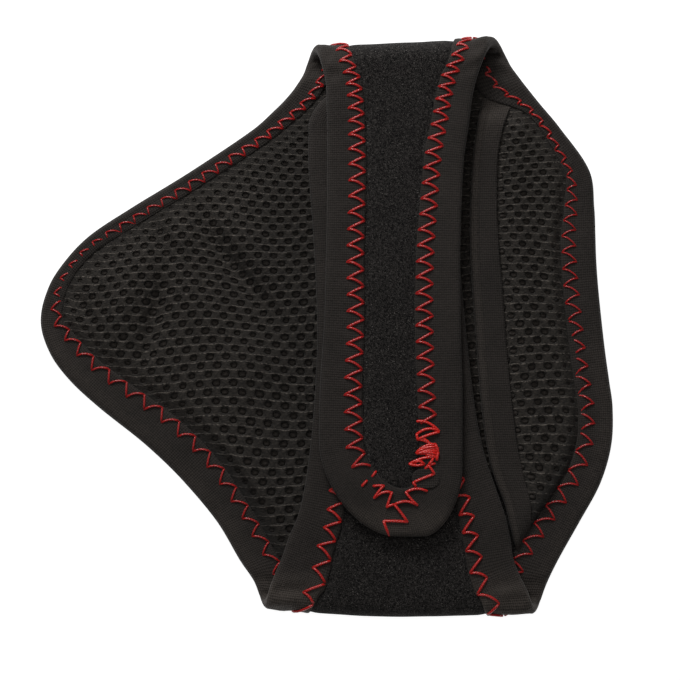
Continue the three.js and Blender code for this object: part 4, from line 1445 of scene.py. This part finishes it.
# Binding strip on the flap's free edge, its ends tucked under the edge tape
strip = {
    "step": 1.3,
    "facePoints": 17,
    "rollPoints": 7,
    "roll": 1.6,
    "tuck": (0.0, 4.0),        # clear of the edge tape, where the strip comes out from under it and is free
    "tuckedStep": 0.12,
    "insideShare": 0.25,       # the gap to the flap inside it, as a share of the step out to its face
    "edgeDrop": 0.25,
    "edgePower": 6,
    "softness": 0.1,
    "softSize": 6.0,
    # place and half width, as shares of the face, and depth of the groove by the fold
    "foldLine": (0.19, 0.05, 0.5),
    # painted highlight on the strip's rolled left lip
    "paleLip": 0.35,
    "ends": (-84.0, 84.8),
    "paleEnd": (66.0, 82.0, 0.45),  # from Y to Y, and how pale the strip's top end is painted, a painted highlight
}


def flapStrip():
    low, high = strip["ends"]
    along = np.linspace(low, high, round((high - low) / strip["step"]))
    left, right = stripLeft(along), stripRight(along)
    rings, maps, paleAndPaintedLight = [], [], []
    # painted highlights: the strip's top end and its rolled lip are painted paler
    endFrom, endTo, endPale = strip["paleEnd"]
    paleEnd = endPale * smooth(along, endFrom, endTo)

    # over goes from -1 at the lower face to 1 at the upper one
    def ring(across, over, share, drop=0.0, pale=0.0):
        paleAndPaintedLight.append(np.maximum(paleEnd, pale))
        tucked = smooth(clearOfTape(along, across), *strip["tuck"])
        step = lerp(strip["tuckedStep"], tapeStep, tucked) * share - drop * tucked
        high = flapTop(along, across) + step
        low = flapBottom(along, across) - step
        rings.append(place(along, across, lerp(low, high, (over + 1) / 2)))
        maps.append(np.stack([along, (across - left) * over], axis=1))

    faceShares = np.linspace(0, 1, strip["facePoints"])
    turn = np.linspace(-math.pi / 2, math.pi / 2, strip["rollPoints"])
    face = left + strip["roll"]
    for share in faceShares[:0:-1]:
        ring(lerp(face, right, share), -1.0, 1.0)
    for angle in turn:
        over = math.sin(angle)
        ring(left + strip["roll"] * (1 - math.cos(angle)), over, 1.0, 0.0, strip["paleLip"] * max(over, 0))
    for share in faceShares[1:]:
        across = lerp(face, right, share)
        soft = strip["softness"] * swell(along, across, strip["softSize"])
        spot, half, depth = strip["foldLine"]
        groove = depth * math.exp(-((share - spot) / half) ** 2)
        lip = strip["paleLip"] * (share < spot - half)
        drop = strip["edgeDrop"] * share ** strip["edgePower"]
        ring(across, 1.0, 1.0, drop + groove - soft, lip)
    for share in faceShares[::-2]:
        ring(lerp(face, right, share), 1.0, strip["insideShare"])
    for share in faceShares[::2]:
        ring(lerp(face, right, share), -1.0, strip["insideShare"])
    points = np.stack(rings, axis=1).reshape(-1, 3)
    uv = np.stack(maps, axis=1).reshape(-1, 2)
    count = len(rings)
    quads = gridQuads(len(along), count, closedColumns=True)
    cutEnds = endFaces(len(along), count)
    piece = addObject("flapStrip", meshOf("flapStrip", points, quads, uv, caps=cutEnds))
    # the paleness stored as bent is painted highlight
    storeValue(piece.data, "bent", np.stack(paleAndPaintedLight, axis=1).ravel())
    return finishPiece(piece, "binding_tape", "flap_binding")


flapStripPiece = flapStrip()
print("flap strip:", len(flapStripPiece.data.polygons), "faces")


# Thread laid on the cloth's face from hole to hole
threadLift = stitch["radius"] * stitch["liftShare"]


# shares along one leg, and how high the thread's middle is there, between two needle holes
def legShares(count):
    t = np.linspace(0, 1, count + 1)
    dip = np.clip(1 - np.minimum(t, 1 - t) / stitch["dipShare"], 0, 1) ** 2
    return t, threadLift - (threadLift + stitch["sunk"]) * dip


tuckedLeft, tuckedRight = (curveThrough(stitch["tucked"], column) for column in (1, 2))


# the zigzag, each leg bowed towards the top fold; the even holes are the inner ones
def threadRun(holes):
    t, lift = (part[:-1] for part in legShares(stitch["legPoints"]))
    start, leg = holes[:-1], np.diff(holes, axis=0)
    flat = start[:, None] + leg[:, None] * t[:, None]
    middle = start + leg / 2
    onPad = onStrap(middle[:, 0]) < 0.5
    bow = np.where(onPad, 1, -1) * stitch["bow"] * np.linalg.norm(leg, axis=1)
    bow[1::2] *= np.where(onPad[1::2], 1, stitch["straighter"])
    flat[..., 0] += bow[:, None] * 4 * t * (1 - t)
    tucked = np.where(middle[:, 1] < stitch["middleX"], tuckedLeft(middle[:, 0]), tuckedRight(middle[:, 0]))
    tucked = np.clip(tucked * onPad, stitch["leastTuck"], 1)
    fromInner = np.where((np.arange(len(start)) % 2 == 0)[:, None], t, 1 - t)
    hidden = 1 - smooth(fromInner / tucked[:, None], *stitch["tuckFade"])
    return flat.reshape(-1, 2), (lift - hidden * (threadLift + stitch["radius"])).ravel()


# places over the face that the stitches show on, outer on the straps and inner on the pad, or over the other
def facePlace(flat, lift, shownFace):
    along, across = flat[:, 0], flat[:, 1]
    pulled = tape["pressed"] + pulledIn(along, across)
    strapped = onStrap(along)
    outerDeep = -tapeStep + lerp(stitch["backRoom"] + threadLift, pulled, strapped) - lift
    innerDeep = stackHeight(along) + tapeStep - pulled + lift
    return place(along, across, np.where((strapped > 0.5) == shownFace, outerDeep, innerDeep))


def threadTree():
    tree, given = newTree("sewnThread", {
        "Thread radius": "NodeSocketFloat",
        "Sides": "NodeSocketInt",
        "Finish": "NodeSocketMaterial",
    })
    path = addNode(tree, "GeometryNodeMeshToCurve", None, {"Mesh": given["Geometry"]})
    length = addNode(tree, "GeometryNodeSplineParameter").outputs["Length"]
    measured = addNode(tree, "GeometryNodeStoreNamedAttribute", {"data_type": "FLOAT", "domain": "POINT"}, {
        "Geometry": path.outputs[0], "Name": "runLength", "Value": length})
    thick = addNode(tree, "GeometryNodeInputNamedAttribute", {"data_type": "FLOAT"}, {"Name": "thick"})
    section = addNode(tree, "GeometryNodeCurvePrimitiveCircle", None, {
        "Resolution": given["Sides"], "Radius": given["Thread radius"]})
    spot = addNode(tree, "GeometryNodeInputPosition").outputs[0]
    perPoint = {"data_type": "FLOAT_VECTOR", "domain": "POINT"}
    turned = addNode(tree, "GeometryNodeStoreNamedAttribute", perPoint, {
        "Geometry": section.outputs[0], "Name": "around", "Value": spot})
    tube = addNode(tree, "GeometryNodeCurveToMesh", None, {
        "Curve": measured.outputs[0], "Profile Curve": turned.outputs[0],
        "Scale": thick.outputs["Attribute"], "Fill Caps": True})
    return endTree(tree, tube.outputs[0], given["Finish"])


sewnThread = threadTree()


# runs of thread, with the shares of the radius and how much brighter their points are painted
def threadPiece(name, runs, thick, fresh, sideCount):
    points = np.concatenate(runs)
    edges, start = [], 0
    for run in runs:
        index = np.arange(start, start + len(run))
        edges += np.stack([index[:-1], index[1:]], axis=1).tolist()
        start += len(run)
    piece = addObject(name, meshOf(name, points, np.empty((0, 4), int), edges=edges))
    storeValue(piece.data, "thick", np.concatenate(thick))
    storeValue(piece.data, "fresh", np.concatenate(fresh))
    realised(piece, sewnThread, {
        "Thread radius": stitch["radius"] * mm, "Sides": sideCount, "Finish": finishes["red_thread"]})
    piece.data.shade_smooth()
    return finishPiece(piece, "red_thread")


# split where the shown face changes over, at the middle of each fold, without scraps of a few points
def splitRuns(flat, points):
    strapped = onStrap(flat[:, 0]) > 0.5
    cuts = np.flatnonzero(np.diff(strapped.astype(int))) + 1
    return [run for run in np.split(points, cuts) if len(run) > 3]


flatRun, liftRun = threadRun(needles)
thickRun, paintedBrightRun = (curveThrough(stitch["plump"], column)(flatRun[:, 0]) for column in (1, 2))
thinRun = np.minimum(thickRun, 1)
shownRuns = [splitRuns(flatRun, values) for values in (
    facePlace(flatRun, liftRun * thickRun, True), thickRun, paintedBrightRun)]
backRuns = [splitRuns(flatRun, values) for values in (
    facePlace(flatRun, liftRun * thinRun, False), thinRun, paintedBrightRun)]
shownStitch = threadPiece("zigzagStitchShown", *shownRuns, stitch["sides"])
backStitch = threadPiece("zigzagStitchBack", *backRuns, stitch["backSides"])

# Where the run ends at the tip of the top strap: stray stitches, a dense tack and a loose end
tipStitch = {
    "lift": 0.25,              # over the flat face of the tape
    "pile": (0.13, 4),         # legs lie higher one by one, by this step, and start again after so many
    "fresh": (-53.5, -50.5),   # Y from which the tack's thread is painted bright, as painted light
    "paintedBrightShares": (0.4, 0.6),  # how much brighter the stray stitches and the tack are painted
    "thick": 1.22,
    # from X and Y, to X and Y, bow towards the top fold, sunk in the cloth, fall of the far end
    "legs": (
        (18.2, -53.6, 16.8, -55.4, 0.0, 0.58, 0.0),
        (14.9, -56.9, 13.1, -58.9, 0.1, 0.36, 0.0),
        (17.4, -58.9, 21.1, -58.8, 0.2, 0.3, 0.0),
        (21.1, -58.8, 17.6, -63.3, 0.3, 0.2, 0.0),
        (17.6, -63.3, 24.1, -61.3, 1.1, 0.0, 0.0),
        (24.1, -61.3, 22.3, -66.6, 0.2, 0.0, 0.0),
        (22.3, -66.6, 25.0, -65.7, 0.2, 0.0, 0.0),
        (25.0, -65.7, 29.9, -72.1, 0.3, 0.0, 0.0),
        (29.9, -72.1, 21.1, -71.8, 0.2, 0.0, 0.0),
        (21.1, -71.8, 23.2, -77.0, -0.3, 0.0, 1.9),
        (25.0, -65.7, 33.5, -65.9, 1.3, 0.0, 0.0),
        (33.5, -65.9, 29.3, -61.2, -0.3, 0.0, 0.0),
        (29.3, -61.2, 37.1, -60.7, 1.1, 0.0, 0.0),
        (32.9, -58.8, 32.0, -57.5, 0.0, 0.0, 0.0),
        (32.0, -57.5, 39.8, -54.4, 0.1, 0.0, 0.0),
        (39.8, -54.4, 37.4, -51.2, 0.3, 0.0, 0.0),
        (33.4, -35.0, 41.5, -38.6, 1.3, 0.0, 0.0),
        (41.5, -38.6, 33.3, -39.8, 1.5, 0.0, 0.0),
        (33.3, -39.8, 33.6, -41.7, 0.0, 0.1, 0.0),
        (41.5, -38.9, 33.6, -41.7, 0.3, 0.0, 0.0),
        (33.6, -41.7, 39.0, -43.7, 0.5, 0.0, 0.0),
        (33.6, -41.7, 40.5, -47.3, 2.4, 0.0, 0.0),
        (33.4, -46.2, 40.3, -43.5, 0.9, 0.0, 0.0),
        (33.1, -46.7, 40.7, -44.5, 0.9, 0.0, 0.0),
        (36.0, -45.9, 41.2, -45.0, 0.5, 0.0, 0.0),
        (33.1, -46.7, 40.9, -45.4, 0.9, 0.0, 0.0),
        (33.2, -46.8, 40.9, -46.3, 0.8, 0.0, 0.0),
        (33.3, -46.9, 40.8, -47.2, 0.7, 0.0, 0.0),
        (34.6, -46.9, 41.1, -47.8, 0.4, 0.0, 0.0),
        (36.7, -47.2, 40.9, -48.3, 0.1, 0.0, 0.0),
        (40.3, -43.6, 41.2, -46.4, 0.2, 0.0, 0.0),
        (41.2, -46.4, 40.7, -49.2, 0.2, 0.0, 0.0),
        (40.6, -48.2, 30.6, -50.7, 0.9, 0.0, 0.0),
        (30.6, -50.7, 36.0, -50.7, -0.5, 0.0, 0.0),
        (36.0, -50.7, 32.6, -50.2, 0.8, 0.1, 0.0),
        (39.3, -48.7, 37.9, -50.7, -0.2, 0.0, 0.0),
        (39.9, -50.6, 36.3, -52.6, 0.5, 0.0, 0.0),
    ),
}


def tipRuns():
    t, lift = legShares(stitch["legPoints"])
    base = tapeStep + tipStitch["lift"] - threadLift
    step, levels = tipStitch["pile"]
    runs, thick, fresh = [], [], []
    for k, (fromX, fromY, toX, toY, bow, sunk, fall) in enumerate(tipStitch["legs"]):
        y = lerp(fromY, toY, t) + bow * 4 * t * (1 - t)
        height = base + step * (k % levels) + lift - sunk - fall * t ** 3
        runs.append(place(topStrapAlong(y), lerp(fromX, toX, t), -height))
        thick.append(np.full(len(t), tipStitch["thick"]))
        fresh.append(lerp(*tipStitch["paintedBrightShares"], smooth(y, *tipStitch["fresh"])))
    return runs, thick, fresh


tipStitchPiece = threadPiece("tackAndLooseEnd", *tipRuns(), stitch["sides"])
threadPieces = (shownStitch, backStitch, tipStitchPiece)
print("stitches:", *(len(piece.data.polygons) for piece in threadPieces), "faces")

# The tape's own end, cut round and lapped over its start beside the tack
lap = {
    "middle": (36.7, -56.1),
    "half": (5.1, 3.7),
    "squareness": 2.6,
    "sides": 48,
    # share of the outline and lift over the pressed tape, from its hidden face round to its top
    "rings": (
        (0.3, -0.3),
        (0.97, -0.3),
        (1.0, -0.1),
        (1.0, 0.42),
        (0.97, 0.64),
        (0.9, 0.7),
        (0.6, 0.5),
        (0.3, 0.5),
    ),
}


def tapeLap():
    angle = np.linspace(0, 2 * math.pi, lap["sides"], endpoint=False)
    outline = roundedOutline(angle, lap["half"], lap["squareness"])
    flats, points = [], []
    for share, lift in lap["rings"]:
        x, y = (lap["middle"] + outline * share).T
        flat = np.column_stack([topStrapAlong(y), x])
        flats.append(flat)
        points.append(facePlace(flat, lift, True))
    flats, points = np.concatenate(flats), np.concatenate(points)
    count, rings = lap["sides"], len(lap["rings"])
    quads = gridQuads(rings, count, closedColumns=True)
    piece = addObject("tapeLap", meshOf("tapeLap", points, quads, flats, caps=endFaces(rings, count)))
    return finishPiece(piece, "binding_tape")


tapeLapPiece = tapeLap()
print("tape lap:", len(tapeLapPiece.data.polygons), "faces")

# Closure patch under the end of the top strap: rows of small hooks on a rounded ground
hooks = {
    "corner": 5.0,
    "cornerPoints": 7,
    "ground": 0.9,
    # inset and depth of the ground's section, from its lower face round its edge
    "edge": ((3.0, 0.9), (0.3, 0.9), (0.0, 0.6), (0.0, 0.3), (0.3, 0.0), (3.0, 0.0)),
    "rowMargins": (2.0, 1.5),
    "spacing": 1.7,
    "hang": 0.35,          # of the hooks' middles below the ground
    "height": 1.0,
    "radius": 0.12,
    "arc": 230,            # degrees
    "arcPoints": 7,
    "sides": 5,
    "shrink": (0.45, 0.45, 0.5),
    "turn": (0.2, 0.2, 0.5),  # most that a hook is turned either way
    "seed": 5,
}


def hookTree():
    tree, given = newTree("hookField", {
        "Hook radius": "NodeSocketFloat",
        "Hook height": "NodeSocketFloat",
        "Seed": "NodeSocketInt",
        "Finish": "NodeSocketMaterial",
    })
    arc = addNode(tree, "GeometryNodeCurveArc", None, {
        "Resolution": hooks["arcPoints"], "Radius": given["Hook height"],
        "Sweep Angle": math.radians(hooks["arc"])})
    shrink = addNode(tree, "GeometryNodeTransform", None, {
        "Geometry": arc.outputs[0], "Rotation": (math.radians(90), 0, 0), "Scale": hooks["shrink"]})
    section = addNode(tree, "GeometryNodeCurvePrimitiveCircle", None, {
        "Resolution": hooks["sides"], "Radius": given["Hook radius"]})
    wire = addNode(tree, "GeometryNodeCurveToMesh", None, {
        "Curve": shrink.outputs[0], "Profile Curve": section.outputs[0], "Fill Caps": True})
    turn = addNode(tree, "FunctionNodeRandomValue", {"data_type": "FLOAT_VECTOR"}, {
        "Min": tuple(-most for most in hooks["turn"]), "Max": hooks["turn"], "Seed": given["Seed"]})
    rows = addNode(tree, "GeometryNodeInstanceOnPoints", None, {
        "Points": given["Geometry"], "Instance": wire.outputs[0], "Rotation": turn.outputs[0]})
    return endTree(tree, rows.outputs[0], given["Finish"])


def hookPatch():
    low, high = (np.array(corner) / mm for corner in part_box("hook_patch"))
    middle, half = (low + high) / 2, (high - low) / 2
    corner = hooks["corner"]
    turn = np.linspace(0, math.pi / 2, hooks["cornerPoints"])
    outline = []
    for k, (sx, sy) in enumerate(((1, 1), (-1, 1), (-1, -1), (1, -1))):
        arc = turn + k * math.pi / 2
        outline.append(np.stack([sx * (half[0] - corner) + corner * np.cos(arc),
                                 sy * (half[1] - corner) + corner * np.sin(arc)], axis=1))
    outline = np.concatenate(outline)
    rings = []
    for inset, depth in hooks["edge"]:
        size = 1 - inset / half[:2]
        rings.append(atLevel(middle[:2] + outline * size, high[2] - depth))
    points = np.stack(rings).reshape(-1, 3)
    count = len(outline)
    faces = gridQuads(len(rings), count, closedColumns=True).tolist()
    faces += endFaces(len(rings), count)
    ground = bpy.data.meshes.new("hookGround")
    ground.from_pydata((points * mm).tolist(), [], faces)
    first, last = hooks["rowMargins"]
    x, y = (np.arange(first - reach, reach - last, hooks["spacing"]) for reach in half[:2])
    spots = np.stack(np.meshgrid(x, y), axis=-1).reshape(-1, 2)
    spots = atLevel(middle[:2] + spots, high[2] - hooks["ground"] - hooks["hang"])
    piece = addObject("hookPatch", meshOf("hookRows", spots, np.empty((0, 4), int)))
    realised(piece, hookTree(), {
        "Hook radius": hooks["radius"] * mm, "Hook height": hooks["height"] * mm,
        "Seed": hooks["seed"], "Finish": finishes["hook_nylon"]})
    base = addObject("hookGround", ground)
    ground.materials.append(finishes["hook_nylon"])
    with bpy.context.temp_override(active_object=piece, selected_editable_objects=[piece, base]):
        bpy.ops.object.join()
    return finishPiece(piece, "hook_nylon", "hook_patch")


hookPiece = hookPatch()
print("hook patch:", len(hookPiece.data.polygons), "faces")

# Length the edge tape was cut to before it was sewn and folded
tapeLength = np.linalg.norm(np.diff(tapeLoop[0], axis=0), axis=1).sum() * mm

# Pale floor, soft studio light, and a long lens straight above
studio = {
    "floorGlow": 0.95,
    "floorTone": 0.35,
    "floorReach": 3000.0,
    "floorLevel": -0.2,
    "worldStrength": 0.13,
    # name, place in metres, size in metres and power of each light, all turned to the middle of the brace
    "lights": (
        ("keyPanel", (-0.15, 0.56, 0.37), 0.26, 3.1),
        ("softBox", (-0.25, 0.6, 2.2), 1.6, 11.5),
    ),
    "view": (5.0, -5.0),       # middle of the view
    "viewWidth": 251.6,
    "viewLevel": 9.0,
    "cameraHeight": 2000.0,
    "clipEnd": 20.0,           # metres
    "sensor": 36.0,
}


def addLight(name, spot, size, power):
    lamp = bpy.data.lights.new(name, "AREA")
    lamp.shape = "DISK"
    lamp.size = size
    lamp.energy = power
    light = bpy.data.objects.new(name, lamp)
    bpy.context.scene.collection.objects.link(light)
    light.location = spot
    light.rotation_euler = (-Vector(spot)).to_track_quat("-Z", "Y").to_euler()


def studioSet():
    scene = bpy.context.scene
    reach, level = studio["floorReach"], studio["floorLevel"]
    corners = [(x * reach, y * reach, level) for x, y in ((-1, -1), (1, -1), (1, 1), (-1, 1))]
    floor = addObject("floor", meshOf("floor", corners, [[0, 1, 2, 3]]))
    material, _, _ = newMaterial("paleFloor", {
        "Base Color": (studio["floorTone"],) * 3 + (1.0,),
        "Roughness": 0.9,
        "Specular IOR Level": 0.1,
        "Emission Color": (1.0, 1.0, 1.0, 1.0),
        "Emission Strength": studio["floorGlow"],
    })
    floor.data.materials.append(material)
    world = bpy.data.worlds.new("softRoom")
    world.use_nodes = True
    background = world.node_tree.nodes["Background"]
    background.inputs["Color"].default_value = (1.0, 1.0, 1.0, 1.0)
    background.inputs["Strength"].default_value = studio["worldStrength"]
    scene.world = world
    for light in studio["lights"]:
        addLight(*light)
    scene.view_settings.view_transform = "Standard"
    scene.view_settings.look = "None"
    camera = bpy.data.cameras.new("overheadCamera")
    camera.sensor_width = studio["sensor"]
    camera.lens = studio["sensor"] * (studio["cameraHeight"] - studio["viewLevel"]) / studio["viewWidth"]
    camera.clip_end = studio["clipEnd"]
    overhead = bpy.data.objects.new("overheadCamera", camera)
    x, y = studio["view"]
    overhead.location = (x * mm, y * mm, studio["cameraHeight"] * mm)
    scene.collection.objects.link(overhead)
    scene.camera = overhead


studioSet()
print("studio set")
